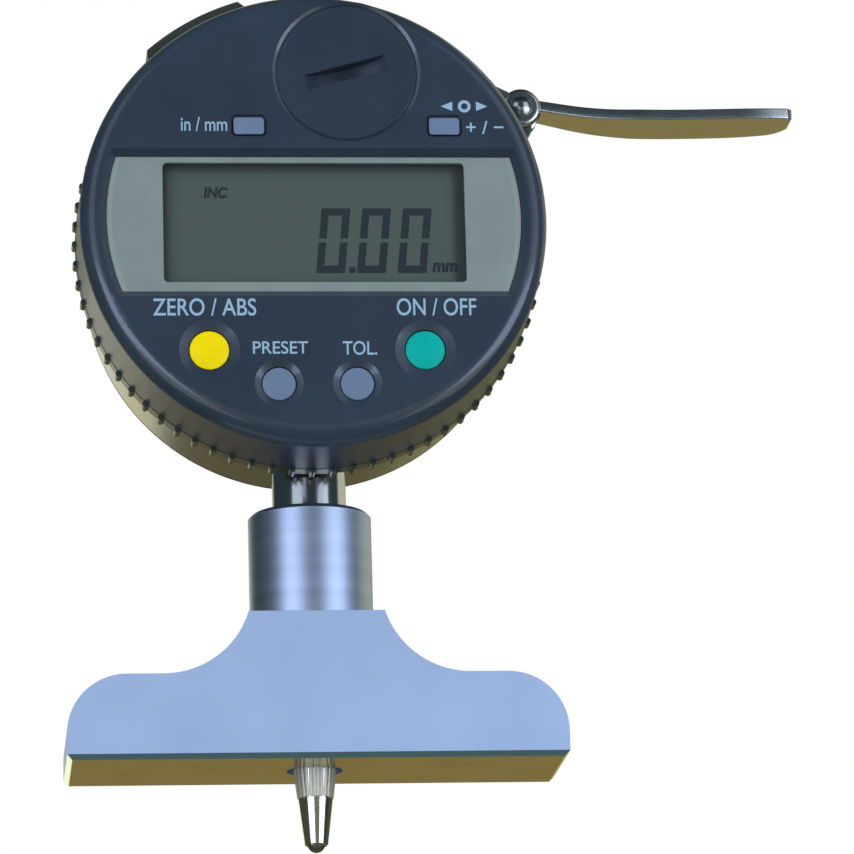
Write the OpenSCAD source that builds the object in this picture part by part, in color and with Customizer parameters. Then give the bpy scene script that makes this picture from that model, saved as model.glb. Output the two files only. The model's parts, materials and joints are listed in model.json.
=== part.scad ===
// Depth gauge: a round digital indicator head clamped by its stem in the collar of a lapped
// inverted-T base, with a sprung spindle and a lever that lifts it.
// Millimetres, +Z up. The origin lies on the measuring axis, in the plane of the base's underside.
// +X is to the reader's right, and the display faces -Y.

/* [Base] */
// Length of the base along X
base_length = 63.5; // [56:0.5:80]
// Depth of the base along Y
base_depth = 19.05; // [15.9:0.05:22]
// Height of the base's top land
base_height = 18.9; // [18:0.1:22]
// Height of the flat part of each wing
wing_height = 10.9; // [9:0.1:12]
// Width of the top land along X
land_width = 17.3; // [16.5:0.1:20]
// Radius of the concave sweep from the land to a wing
sweep_radius = 11.3; // [9:0.1:13]
// Radius of each wing's outer corner
wing_corner = 7.6; // [3:0.1:9]
// Chamfer round the underside
underside_chamfer = 0.65; // [0.2:0.05:1]
// Diameter of the hole that the contact point comes out of
contact_hole = 7.3; // [6.2:0.1:8.5]

/* [Collar and stem] */
// Outer diameter of the clamping collar
collar_diameter = 15.9; // [15:0.1:17]
// Height of the collar's top rim above the underside
collar_top = 33.4; // [30:0.1:34]
// Diameter of the indicator's stem
stem_diameter = 9.525; // [9:0.025:9.6]
// Diameter of the clamp screw in the back of the collar
clamp_screw_diameter = 3; // [2.5:0.1:4]

/* [Spindle] */
// Diameter of the spindle
spindle_diameter = 4.8; // [4:0.1:5]
// Travel of the spindle
spindle_travel = 12.7; // [10:0.1:12.7]
// How far the contact point reaches below the base at rest
contact_reach = 10.55; // [6:0.05:11]
// Diameter of the ball in the contact point
ball_diameter = 2.3; // [1.5:0.1:2.4]

/* [Display] */
// Height of the head's centre above the underside
head_height = 67.7; // [67.7:0.1:68.5]
// Distance from the measuring axis forward to the display's face
face_forward = 21; // [21:0.1:22]
// Radius of the display housing at its front
display_radius = 29.8; // [29.5:0.1:30]
// Radius of the rounded edge round the face
bezel_round = 2.3; // [1:0.1:2.6]
// Radius over the tips of the grip ring's ridges
ridge_radius = 30.5; // [30.4:0.1:31]
// Number of ridges round the grip ring
ridge_count = 72; // [48:4:96]
// Radius of the silver panel's round ends
panel_radius = 26.45; // [26:0.05:26.6]
// Height of the panel's top edge above the head's centre
panel_top = 8.05; // [7.8:0.05:8.1]
// Height of the panel's bottom edge above the head's centre
panel_bottom = -9.85; // [-10:0.05:-9.6]
// Width of the window
window_width = 38.4; // [34:0.1:38.6]
// Height of the window
window_height = 15.7; // [14:0.1:15.8]

/* [Buttons] */
// Diameter of the two large round buttons
large_button = 5; // [4.4:0.1:5.4]
// Diameter of the two small round buttons
small_button = 4.25; // [3.8:0.05:4.6]
// Width of the two small oblong buttons
oblong_width = 3.9; // [3:0.1:4]
// Height of the two small oblong buttons
oblong_height = 2.25; // [1.8:0.05:2.4]
// How far a button goes in
button_travel = 0.6; // [0.3:0.05:0.65]

/* [Battery] */
// Diameter of the battery cap
cap_diameter = 18; // [17.8:0.1:18.1]
// Diameter of the button cell
cell_diameter = 11.6; // [9.5:0.1:11.6]
// Height of the button cell
cell_height = 5.4; // [4.2:0.1:5.4]
// Tilt of the coin slot in the cap
slot_tilt = 15; // [0:1:90]

/* [Case] */
// Radius of the case behind the display
case_radius = 28.3; // [28:0.1:28.6]
// Distance from the measuring axis to the flat back
case_back = 11.5; // [11.5:0.1:13]
// Thickness of the case's round wall
case_wall = 2; // [1.6:0.1:2.2]

/* [Lifting lever] */
// Distance from the measuring axis to the lever's pivot
pivot_x = 28.9; // [28.5:0.1:29.5]
// Height of the pivot above the underside
pivot_z = 87.9; // [87.5:0.1:88.5]
// Distance from the measuring axis to the lever's tip
lever_tip_x = 65; // [50:0.5:70]
// Thickness of the lever's blade
blade_thickness = 1.45; // [1:0.05:1.6]
// Width of the lever's blade at its widest
blade_width = 8.6; // [6:0.1:9]

/* [Hidden] */
$fn = 64;

running = 0.02;
press_gap = 0.05;
eps = 0.1;

// Base and collar
stem_radius = stem_diameter / 2;
stem_foot = 15.25;
seat_height = 15.2;
sweep_x = land_width / 2 + sqrt(pow(sweep_radius, 2)
                                - pow(wing_height + sweep_radius - base_height, 2));
spigot_radius = 6.5;
collar_radius = collar_diameter / 2;
clamp_height = 26;
pad_radius = 1.2;
pad_back = stem_radius + 0.8;

// Spindle
spindle_radius = spindle_diameter / 2;
spindle_foot = 2;
shank_radius = 1.2;
shank_top = 7;
ball_radius = ball_diameter / 2;
ball_height = ball_radius - contact_reach;
bush_radius = 3.2;
carriage_bottom = 48;
carriage_top = 53;
collar_bottom = 76.4;
collar_thick = 2;
spindle_top = collar_bottom + collar_thick + 1;
rod_x = 8;
rod_radius = 0.8;
scale_front = 4.5;
scale_thick = 0.6;

// Case, in distances forward of the measuring axis where a name ends in _f
case_front_f = 5.4;
case_floor_f = 4.2;
rim_f = -10;
gasket_thick = 0.4;
cover_f = rim_f - gasket_thick;
case_inner = case_radius - case_wall;
hub_inner = 7;
hub_outer = 9;
hub_front_f = 9.4;
retainer_thick = 0.9;
retainer_at = (hub_inner + hub_outer) / 2;
retainer_angles = [90, 210, 330];
retainer_screw = 0.5;
lower_boss_top = 47;
stem_head = 46;
upper_boss_bottom = carriage_top + spindle_travel + 3.3;
upper_boss_top = upper_boss_bottom + 4;
board_f = -6;
detector_x = [-12, 13];
detector_z = [57.5, 65.5];
lug_radius_at = 24.4;
lug_radius = 2.1;
lug_angles = [45, 135, 225, 315];
spring_x = -7.6;
spring_bottom = 50.2;
spring_top = collar_bottom - 0.05;
spring_radius = 1.35;
spring_wire = 0.25;
spring_turns = 12;

// Display
ring_back_f = 5.6;
ring_front_f = 8.1;
housing_back_f = 8.2;
housing_wall = 1.8;
housing_inner = display_radius - housing_wall;
face_thick = 2.2;
face_inner_f = face_forward - face_thick;
panel_f = face_forward - 1;
panel_back_f = panel_f - 0.6;
bevel = 0.85;
board_back_f = 13;
board_front_f = 14;
board_radius = 26.4;
post_at = 25.2;
post_angles = [30, 150, 215, 325];
post_radius = 2.2;
post_foot_radius = 1.6;
screw_radius = 0.8;
lcd_y = (panel_top + panel_bottom) / 2 + 0.25;
lcd_width = 41;
lcd_height = 18;
lcd_back_f = 17.2;
lcd_front_f = 18.4;
band_radius = display_radius + 0.2;
ring_radius = band_radius + 0.05;
rib_radius = 0.4;

// Buttons: each is [x, height above the head's centre, radius of its dish]
zero_at = [-13.7, -17.7, 3.85];
preset_at = [-5, -22.1, 3.1];
tolerance_at = [4.9, -22.1, 3.1];
on_off_at = [13.6, -17.7, 3.85];
in_mm_at = [-8.2, 11.9];
direction_at = [16.8, 11.9];
dish_depth = 0.45;
button_gap = 0.12;
button_top_f = face_forward - 0.1;
flange_front_f = 18.6;
flange_back_f = 17.7;
button_foot_f = board_front_f + 0.45 + button_travel;

// Battery
cap_at = [4.44, 19.1];
cap_radius = cap_diameter / 2;
cap_head_f = 19.7;
cap_seat_f = 18.9;
cap_thread_radius = 8.2;
cap_rim = 0.22;
cap_foot_f = 16.95;
cell_top_f = 16.7;
cell_foot_f = cell_top_f - cell_height;
well_floor_f = cell_foot_f - 0.4;
slot_length = 10.9;
slot_depth = 2.3;
slot_width = 2;
slot_disc = (pow(slot_length / 2, 2) + pow(slot_depth, 2)) / (2 * slot_depth);

// Data socket
socket_angle = 119.5;
socket_f = 13.6;
socket_width = 10;
socket_height = 5;
cover_half_angle = 13;
cover_radius = 31.2;

// Lever
hub_radius = 2.6;
hub_edge = 0.5;
lever_front = -3.6;
lever_back = 1.6;
lever_mid = (lever_front + lever_back) / 2;
tongue_front = -2.1;
tongue_back = 0.1;
finger_back_f = 2.55;
finger_front_f = 3.5;
finger_length = 29.5;
finger_angle = 206.15;
finger_half = 0.7;
finger_tip = 1.1;
slot_angles = [31, 55.5];
pin_radius = 0.75;
saddle_thick = 1.4;
bracket_screw_angles = [22, 54];
bracket_screw_f = -2.9;
small_screw = 0.6;

// ---------- shared shapes ----------

// Turns the head's drawing plane upright: x right, y up, z forward of the measuring axis
module facing() {
    translate([0, 0, head_height]) rotate([90, 0, 0]) children();
}

// Places children on the pitch circle of the head
module around(radius, angles) {
    for (a = angles) rotate([0, 0, a]) translate([radius, 0, 0]) children();
}

module disc(radius, back, front) {
    translate([0, 0, back]) cylinder(r = radius, h = front - back);
}

module ring(inner, outer, back, front) {
    difference() {
        disc(outer, back, front);
        disc(inner, back - eps, front + eps);
    }
}

// A 2D shape raised from one depth to another
module raised(back, front) {
    translate([0, 0, back]) linear_extrude(front - back) children();
}

module round_rectangle(width, height, corner) {
    square([width - 2 * corner, height], center = true);
    square([width, height - 2 * corner], center = true);
    for (sx = [-1, 1], sy = [-1, 1])
        translate([sx * (width / 2 - corner), sy * (height / 2 - corner)]) circle(r = corner);
}

// A box given by its two opposite corners
module box(low, high) {
    translate(low) cube(high - low);
}

// A pan-head screw that points along -z, its head's seat at z = 0
module pan_screw(radius, length, head_radius, head_height) {
    translate([0, 0, -length]) cylinder(r = radius, h = length + eps / 2);
    difference() {
        cylinder(r = head_radius, h = head_height);
        translate([-head_radius, -0.15, head_height * 0.6]) cube([2 * head_radius, 0.3, head_height]);
        translate([-0.15, -head_radius, head_height * 0.6]) cube([0.3, 2 * head_radius, head_height]);
    }
}

// Points of one ring of a tube's surface, square to a helix of the given size
function helix_ring(turn, radius, pitch, wire, sides) = [
    for (s = [0 : sides - 1])
        let (a = 360 * s / sides, r = radius + wire * cos(a))
        [r * cos(360 * turn), r * sin(360 * turn), pitch * turn + wire * sin(a)]];

// An unbroken helical tube that rises from z = 0
module helix_tube(radius, wire, height, turns) {
    sides = 6;
    steps_per_turn = 10;
    steps = steps_per_turn * turns;
    pitch = (height - 2 * wire) / turns;
    points = [for (i = [0 : steps]) each helix_ring(i / steps_per_turn, radius, pitch, wire, sides)];
    skin = [for (i = [0 : steps - 1], s = [0 : sides - 1])
        let (a = i * sides + s, b = i * sides + (s + 1) % sides)
        each [[a, a + sides, b], [b, a + sides, b + sides]]];
    start = [[for (s = [0 : sides - 1]) s]];
    end = [[for (s = [sides - 1 : -1 : 0]) steps * sides + s]];
    translate([0, 0, wire]) polyhedron(points, concat(skin, start, end));
}

// ---------- base ----------

module base_outline() {
    half = base_length / 2;
    difference() {
        translate([-half, 0]) square([base_length, wing_height]);
        for (s = [-1, 1])
            translate([s * (half - wing_corner / 2 + eps), wing_height - wing_corner / 2 + eps])
                square([wing_corner + 2 * eps, wing_corner + 2 * eps], center = true);
    }
    intersection() {
        for (s = [-1, 1])
            translate([s * (half - wing_corner), wing_height - wing_corner]) circle(r = wing_corner);
        translate([-half, eps]) square([base_length, wing_height]);
    }
    difference() {
        translate([-sweep_x, eps]) square([2 * sweep_x, base_height - eps]);
        for (s = [-1, 1])
            translate([s * sweep_x, wing_height + sweep_radius]) circle(r = sweep_radius);
    }
}

// The wedges that chamfer the four edges of the underside
module underside_edges() {
    c = underside_chamfer;
    for (s = [-1, 1]) {
        translate([0, s * base_depth / 2, 0]) rotate([45, 0, 0])
            cube([base_length + 2, c * sqrt(2), c * sqrt(2)], center = true);
        translate([s * base_length / 2, 0, 0]) rotate([0, 45, 0])
            cube([c * sqrt(2), base_depth + 2, c * sqrt(2)], center = true);
    }
}

module base_block() {
    color("lightsteelblue") difference() {
        translate([0, base_depth / 2, 0]) rotate([90, 0, 0])
            linear_extrude(base_depth) base_outline();
        underside_edges();
        disc(contact_hole / 2, -eps, seat_height + eps);
        disc(spigot_radius, seat_height, base_height + eps);
    }
}

module clamp_collar() {
    rim = 0.5;
    color("silver") difference() {
        union() {
            disc(spigot_radius, seat_height, base_height + eps);
            disc(collar_radius, base_height, collar_top - rim);
            translate([0, 0, collar_top - rim])
                cylinder(r1 = collar_radius, r2 = collar_radius - rim, h = rim);
        }
        disc(stem_radius + running, seat_height - eps, collar_top + eps);
        translate([0, 0, clamp_height]) rotate([-90, 0, 0])
            cylinder(d = clamp_screw_diameter + 2 * running, h = collar_radius + eps);
    }
}

module clamp_pad() {
    color("goldenrod") difference() {
        translate([0, 0, clamp_height]) rotate([-90, 0, 0])
            cylinder(r = pad_radius, h = pad_back);
        disc(stem_radius + running, clamp_height - 3, clamp_height + 3);
    }
}

module clamp_screw() {
    socket = 0.9;
    screw_foot = pad_back + press_gap;
    color("dimgray") translate([0, 0, clamp_height]) rotate([-90, 0, 0]) difference() {
        translate([0, 0, screw_foot])
            cylinder(d = clamp_screw_diameter, h = collar_radius - 0.3 - screw_foot);
        translate([0, 0, collar_radius - 1.4]) cylinder(r = socket, h = 2, $fn = 6);
    }
}

// ---------- case ----------

// The block inside the case that holds the stem's head and the foot of the guide rod
module lower_boss() {
    intersection() {
        box([-7, -case_front_f + eps, head_height - case_radius], [10.5, 5.8, lower_boss_top]);
        facing() disc(case_inner + 0.5, rim_f, case_front_f);
    }
}

// The block that holds the upper bush and the head of the guide rod
module upper_boss() {
    box([-4.4, -case_floor_f - eps, upper_boss_bottom], [13.5, 4, upper_boss_top]);
}

// The slot that the lever's finger passes, in the head's upright plane
module finger_slot() {
    wide = 0.35;
    raised(finger_back_f - wide, finger_front_f + wide) intersection() {
        difference() {
            circle(r = 33);
            circle(r = case_inner - 1);
        }
        polygon([[0, 0], for (a = slot_angles) 60 * [cos(a), sin(a)]]);
    }
}

module bracket_holes(radius) {
    around(radius, bracket_screw_angles) translate([0, 0, bracket_screw_f]) rotate([0, 90, 0])
        cylinder(r = small_screw, h = 6, center = true);
}

module rear_case() {
    shoulder = 0.5;
    color("darkslategray") difference() {
        union() {
            facing() {
                difference() {
                    union() {
                        disc(case_radius, rim_f, case_front_f - shoulder);
                        translate([0, 0, case_front_f - shoulder])
                            cylinder(r1 = case_radius, r2 = case_radius - shoulder, h = shoulder);
                    }
                    disc(case_inner, rim_f - eps, case_floor_f);
                }
                disc(hub_outer, case_floor_f, hub_front_f);
                around(lug_radius_at, lug_angles) disc(lug_radius, rim_f + 0.3, -1);
            }
            lower_boss();
            upper_boss();
            for (x = detector_x, z = detector_z)
                translate([x, 0, z]) rotate([90, 0, 0]) disc(1.5, board_f, case_floor_f + eps);
            translate([spring_x, 0, spring_bottom - 0.85]) rotate([90, 0, 0])
                disc(0.7, -1.2, case_floor_f + eps);
        }
        facing() {
            disc(hub_inner, case_floor_f - 0.3, hub_front_f + eps);
            around(retainer_at, retainer_angles)
                disc(retainer_screw, hub_front_f - 3, hub_front_f + eps);
            around(lug_radius_at, lug_angles) disc(screw_radius, rim_f - eps, -3);
            finger_slot();
            bracket_holes(case_inner);
        }
        disc(stem_radius, 30, stem_head);
        disc(spindle_radius + 0.3, stem_head - eps, lower_boss_top + eps);
        disc(bush_radius, upper_boss_bottom - eps, upper_boss_top + eps);
        translate([rod_x, 0, 0]) disc(rod_radius, lower_boss_top - 2, upper_boss_bottom + 2);
        for (x = detector_x, z = detector_z)
            translate([x, 0, z]) rotate([90, 0, 0]) disc(small_screw, board_f - eps, board_f + 4);
    }
}

module stem() {
    color("silver") difference() {
        union() {
            disc(stem_radius, stem_foot + 0.5, stem_head);
            translate([0, 0, stem_foot])
                cylinder(r1 = stem_radius - 0.5, r2 = stem_radius, h = 0.5);
        }
        disc(bush_radius, stem_foot - eps, stem_head + eps);
    }
}

module bush(bottom, top) {
    color("goldenrod") difference() {
        disc(bush_radius, bottom, top);
        disc(spindle_radius + running, bottom - eps, top + eps);
    }
}

module lower_bush() bush(stem_foot, 28);

module upper_bush() bush(upper_boss_bottom, upper_boss_top);

module guide_rod() {
    color("silver") translate([rod_x, 0, 0])
        disc(rod_radius, lower_boss_top - 2, upper_boss_bottom + 2);
}

module detector_board() {
    color("seagreen") difference() {
        box([-14, -board_f, 55.5], [15, -board_f + 1, 67.5]);
        for (x = detector_x, z = detector_z)
            translate([x, 0, z]) rotate([90, 0, 0]) disc(small_screw, board_f - 2, board_f + 1);
    }
}

module detector_head() {
    color("darkslategray") box([-3.2, -board_f - 0.6, 57], [3.2, -board_f, 66]);
}

module detector_screws() {
    color("silver") for (x = detector_x, z = detector_z)
        translate([x, -board_f + 1, z]) rotate([-90, 0, 0]) pan_screw(small_screw, 4.5, 1.2, 0.9);
}

module signal_ribbon() {
    color("orange") box([-5.4, -board_back_f + 0.3, 64.8], [-5.2, -board_f, 67.2]);
}

module swivel_retainer() {
    color("silver") facing() difference() {
        ring(hub_inner, hub_outer + 2, hub_front_f, hub_front_f + retainer_thick);
        around(retainer_at, retainer_angles)
            disc(retainer_screw, hub_front_f - eps, hub_front_f + 2);
    }
}

module retainer_screws() {
    color("silver") facing() around(retainer_at, retainer_angles)
        translate([0, 0, hub_front_f + retainer_thick]) pan_screw(retainer_screw, 3, 0.9, 0.6);
}

module back_gasket() {
    color("black") facing() ring(case_inner + 0.1, case_radius - 0.2, cover_f, rim_f);
}

module back_cover() {
    edge = 1;
    color("darkslategray") facing() difference() {
        union() {
            disc(case_radius, -case_back + edge, cover_f);
            translate([0, 0, -case_back])
                cylinder(r1 = case_radius - edge, r2 = case_radius, h = edge);
        }
        around(lug_radius_at, lug_angles) disc(screw_radius, -case_back - eps, 0);
        around(lug_radius_at, lug_angles) disc(1.6, -case_back - eps, -case_back + 0.6);
    }
}

module back_cover_screws() {
    head = 0.55;
    color("silver") facing() around(lug_radius_at, lug_angles)
        translate([0, 0, -case_back + 0.6]) rotate([180, 0, 0])
            pan_screw(screw_radius, 5.5, 1.45, head);
}

// ---------- lifting lever ----------

// The bracket's side view, from the case out to the pivot
module tongue_outline() {
    dx = pivot_x;
    dz = pivot_z - head_height;
    difference() {
        union() {
            translate([dx, dz]) circle(r = hub_radius - 0.3);
            polygon([[14, 23.6], [20.4, 24.6], [25, 23.9], [dx - 0.7, dz + 2.1], [dx + 1.4, dz - 1.7],
                     [dx + 1.5, dz - 2.7], [dx + 0.8, dz - 3.9], [28.3, 11.5], [27, 9], [20, 12]]);
        }
        circle(r = case_radius + press_gap);
        translate([dx, dz]) circle(r = pin_radius);
    }
}

module lever_bracket() {
    saddle_front_f = 4.4;
    saddle_back_f = -4.4;
    color("darkslategray") facing() difference() {
        union() {
            raised(-tongue_back, -tongue_front) tongue_outline();
            raised(saddle_back_f, saddle_front_f) intersection() {
                difference() {
                    circle(r = case_radius + saddle_thick);
                    circle(r = case_radius + press_gap);
                }
                polygon([[0, 0], for (a = [17, 59]) 60 * [cos(a), sin(a)]]);
            }
        }
        finger_slot();
        bracket_holes(case_radius);
    }
}

module bracket_screws() {
    color("silver") facing() around(case_radius + saddle_thick, bracket_screw_angles)
        translate([0, 0, bracket_screw_f]) rotate([0, 90, 0]) pan_screw(small_screw, 4, 1.1, 0.6);
}

module lever_pin() {
    head = 1.45;
    color("silver") translate([pivot_x, 0, pivot_z]) rotate([90, 0, 0]) {
        disc(pin_radius, -lever_back - 0.2, -lever_front + 0.05);
        intersection() {
            disc(head, -lever_front + 0.05, -lever_front + 1);
            translate([0, 0, -lever_front + 0.65 - 2]) sphere(r = 2);
        }
    }
}

// A curl of the lever round its pin, rounded round its front
module lever_curl(back_f, front_f) {
    difference() {
        translate([0, 0, back_f]) rotate_extrude() {
            square([hub_radius, front_f - hub_edge - back_f]);
            square([hub_radius - hub_edge, front_f - back_f]);
            translate([hub_radius - hub_edge, front_f - hub_edge - back_f]) circle(r = hub_edge);
        }
        disc(pin_radius + running, back_f - eps, front_f + eps);
    }
}

// The blade's side view: it leaves the curl, dips and runs out nearly level
module blade_side() {
    start = 1.5;
    steps = 20;
    function along(i) = start + (lever_tip_x - pivot_x - start) * pow(i / steps, 1.5);
    function top(x) = 3.4 * exp(-x / 5.2) + 0.0264 * x - 1.42;
    polygon([for (i = [0 : steps]) [along(i), top(along(i))],
             for (i = [steps : -1 : 0]) [along(i), top(along(i)) - blade_thickness]]);
}

// The blade seen from above: it widens from the curl and ends in round corners
module blade_plan() {
    near = lever_back - lever_front;
    reach = lever_tip_x - pivot_x;
    corner = 2.2;
    widen = 11;
    polygon([[0, -near / 2], [3, -near / 2], [widen, -blade_width / 2 + 0.15],
             [widen + 4, -blade_width / 2], [widen + 4, blade_width / 2],
             [widen, blade_width / 2 - 0.15], [3, near / 2], [0, near / 2]]);
    translate([widen + 2, -blade_width / 2]) square([reach - widen - 2 - corner, blade_width]);
    translate([reach - corner - 2, corner - blade_width / 2])
        square([corner + 2, blade_width - 2 * corner]);
    for (s = [-1, 1])
        translate([reach - corner, s * (blade_width / 2 - corner)]) circle(r = corner);
}

module lift_lever() {
    color("gainsboro") translate([pivot_x, 0, pivot_z]) difference() {
        union() {
            rotate([90, 0, 0]) {
                lever_curl(-lever_back, -tongue_back - 0.1);
                lever_curl(-tongue_front + 0.1, -lever_front);
            }
            intersection() {
                rotate([90, 0, 0]) translate([0, 0, -10]) linear_extrude(20) blade_side();
                translate([0, lever_mid, -6]) linear_extrude(12) blade_plan();
            }
        }
        rotate([90, 0, 0]) {
            disc(pin_radius + running, -lever_back - 1, -lever_front + 1);
            disc(hub_radius + 0.15, -tongue_back - 0.1, -tongue_front + 0.1);
        }
    }
}

// The finger runs in from the curl to the underside of the lifting collar
module lift_finger() {
    color("silver") translate([pivot_x, 0, pivot_z]) rotate([90, 0, 0])
        raised(finger_back_f, finger_front_f) difference() {
            rotate([0, 0, finger_angle]) union() {
                translate([0, -finger_half]) square([finger_length, 2 * finger_half]);
                translate([finger_length, 0]) circle(r = finger_tip);
            }
            circle(r = hub_radius);
        }
}

// ---------- spindle ----------

module spindle() {
    color("silver") difference() {
        disc(spindle_radius, spindle_foot, spindle_top);
        disc(shank_radius, spindle_foot - eps, shank_top + 0.2);
    }
}

module contact_point() {
    shoulder = 2.7;
    nose = 1.5;
    nose_height = ball_height - 0.3;
    color("silver") difference() {
        union() {
            disc(shank_radius, spindle_foot - eps, shank_top);
            rotate_extrude() polygon([
                [0, nose_height], [nose - 0.2, nose_height], [nose, nose_height + 0.2],
                [2.52, -1.4], [shoulder, 0.6], [shoulder, 1.6],
                [shoulder - 0.4, spindle_foot], [0, spindle_foot]]);
        }
        translate([0, 0, ball_height]) sphere(r = ball_radius);
    }
}

module contact_ball() {
    color("dimgray") translate([0, 0, ball_height]) sphere(r = ball_radius);
}

module scale_carriage() {
    color("dimgray") difference() {
        union() {
            box([-4.4, -3.6, carriage_bottom], [4.4, scale_front, carriage_top]);
            box([4.3, -1.6, carriage_bottom + 0.5], [rod_x + 2, 1.6, carriage_top - 0.5]);
        }
        disc(spindle_radius, carriage_bottom - eps, carriage_top + eps);
        translate([rod_x, 0, 0])
            disc(rod_radius + running, carriage_bottom - eps, carriage_top + eps);
    }
}

module scale_strip() {
    color("lightblue") box([-2, scale_front, carriage_bottom + 0.5],
                           [2, scale_front + scale_thick, 66]);
}

module lifting_collar() {
    color("silver") difference() {
        union() {
            disc(4, collar_bottom, collar_bottom + collar_thick);
            box([-9.2, -1.4, collar_bottom], [-1, 1.4, collar_bottom + collar_thick]);
        }
        disc(spindle_radius, collar_bottom - eps, collar_bottom + collar_thick + eps);
    }
}

module return_spring() {
    color("gray") translate([spring_x, 0, spring_bottom])
        helix_tube(spring_radius, spring_wire, spring_top - spring_bottom, spring_turns);
}

// ---------- display ----------

// The panel's outline: a disc cut by two level lines
module panel_outline(gap) {
    intersection() {
        circle(r = panel_radius - gap);
        translate([-40, panel_bottom + gap]) square([80, panel_top - panel_bottom - 2 * gap]);
    }
}

// The bevelled mouth round the panel
module panel_mouth() {
    depth = face_forward - panel_f;
    over = eps * bevel / depth;
    intersection() {
        translate([0, 0, panel_f])
            cylinder(r1 = panel_radius, r2 = panel_radius + bevel + over, h = depth + eps);
        translate([-40, 0, 0]) rotate([90, 0, 90]) linear_extrude(80)
            polygon([[panel_bottom, panel_f], [panel_top, panel_f],
                     [panel_top + bevel + over, face_forward + eps],
                     [panel_bottom - bevel - over, face_forward + eps]]);
    }
}

module socket_block(width, height, inner, outer) {
    rotate([0, 0, socket_angle]) translate([inner, -width / 2, socket_f - height / 2])
        cube([outer - inner, width, height]);
}

module button_opening(at, diameter) {
    dish_sphere = (pow(at[2], 2) + pow(dish_depth, 2)) / (2 * dish_depth);
    translate([at[0], at[1], 0]) {
        disc(diameter / 2 + button_gap, face_inner_f - eps, face_forward + eps);
        translate([0, 0, face_forward - dish_depth + dish_sphere]) sphere(r = dish_sphere);
    }
}

module oblong_opening(at) {
    translate([at[0], at[1], 0]) {
        raised(face_inner_f - eps, face_forward + eps)
            round_rectangle(oblong_width + 2 * button_gap, oblong_height + 2 * button_gap, 0.5);
        raised(face_forward - 0.35, face_forward + eps)
            round_rectangle(oblong_width + 0.7, oblong_height + 0.7, 0.7);
    }
}

module housing_shell() {
    bezel_f = face_forward - bezel_round;
    difference() {
        rotate_extrude() {
            polygon([[0, housing_back_f], [band_radius, housing_back_f],
                     [display_radius, bezel_f], [0, bezel_f]]);
            translate([0, housing_back_f])
                square([display_radius - bezel_round, face_forward - housing_back_f]);
            translate([display_radius - bezel_round, bezel_f]) circle(r = bezel_round);
        }
        disc(housing_inner, housing_back_f - eps, face_inner_f);
    }
}

module battery_well() {
    translate([cap_at[0], cap_at[1], 0]) {
        disc(7, well_floor_f - 0.8, 17);
        disc(cap_radius + 0.55, 16.5, face_forward);
    }
}

module front_housing() {
    color("darkslategray") facing() difference() {
        union() {
            housing_shell();
            battery_well();
            around(post_at, post_angles) {
                disc(post_radius, board_front_f, face_inner_f + eps);
                disc(post_foot_radius, housing_back_f - 0.15, board_front_f + eps);
            }
        }
        translate([cap_at[0], cap_at[1], 0]) {
            disc(cell_diameter / 2 + 0.15, well_floor_f, 17);
            disc(cap_thread_radius + running, 16.8, face_forward);
            disc(cap_radius + 0.06, cap_seat_f, face_forward + eps);
            translate([0, 0, face_forward - cap_rim])
                cylinder(r1 = cap_radius + 0.06, r2 = cap_radius + 0.06 + 2 * cap_rim + eps,
                         h = cap_rim + eps / 2);
        }
        raised(panel_back_f, face_forward) panel_outline(0);
        panel_mouth();
        translate([0, lcd_y, 0]) raised(face_inner_f - eps, face_forward)
            round_rectangle(window_width + 1.2, window_height + 1.2, 0.8);
        button_opening(zero_at, large_button);
        button_opening(preset_at, small_button);
        button_opening(tolerance_at, small_button);
        button_opening(on_off_at, large_button);
        oblong_opening(in_mm_at);
        oblong_opening(direction_at);
        socket_block(socket_width + 0.1, socket_height + 0.1, 26, 32);
        around(post_at, post_angles) disc(screw_radius, housing_back_f - 1, 12.5);
    }
}

module grip_ring() {
    flange = 1.1;
    color("darkslategray") facing() {
        raised(ring_back_f, ring_front_f) difference() {
            union() {
                circle(r = ring_radius);
                for (i = [0 : ridge_count - 1]) rotate([0, 0, i * 360 / ridge_count])
                    translate([ridge_radius - rib_radius, 0]) circle(r = rib_radius, $fn = 24);
            }
            circle(r = housing_inner + 0.05);
        }
        ring(housing_inner - flange, housing_inner + eps, ring_back_f, ring_back_f + 0.9);
    }
}

module display_back_plate() {
    color("dimgray") facing() difference() {
        union() {
            disc(housing_inner - 0.1, ring_back_f + 0.95, housing_back_f - 0.2);
            disc(hub_outer + 2, case_front_f + 0.1, hub_front_f - 0.1);
        }
        disc(hub_outer + press_gap, 0, hub_front_f + 1);
        around(post_at, post_angles) disc(screw_radius, 0, hub_front_f + 1);
    }
}

module plate_screws() {
    seat_f = ring_back_f + 0.95;
    color("silver") facing() around(post_at, post_angles)
        translate([0, 0, seat_f]) rotate([180, 0, 0]) pan_screw(screw_radius, 5, 1.4, 0.6);
}

module face_panel() {
    color("lightgray") facing() raised(panel_back_f, panel_f) difference() {
        panel_outline(press_gap);
        translate([0, lcd_y]) round_rectangle(window_width + 0.1, window_height + 0.1, 0.6);
    }
}

module window() {
    color([0.6, 0.7, 0.7, 0.4]) facing() translate([0, lcd_y, 0]) {
        raised(face_inner_f, panel_back_f - press_gap)
            round_rectangle(window_width + 1.1, window_height + 1.1, 0.8);
        raised(face_inner_f, panel_f - 0.25)
            round_rectangle(window_width, window_height, 0.6);
    }
}

module lcd_glass() {
    color("darkseagreen") facing() translate([0, lcd_y, 0]) raised(lcd_back_f, lcd_front_f)
        square([lcd_width, lcd_height], center = true);
}

module lcd_backing() {
    color("whitesmoke") facing() translate([0, lcd_y, 0]) raised(lcd_back_f - 1, lcd_back_f)
        square([lcd_width - 3, lcd_height - 4.5], center = true);
}

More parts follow.
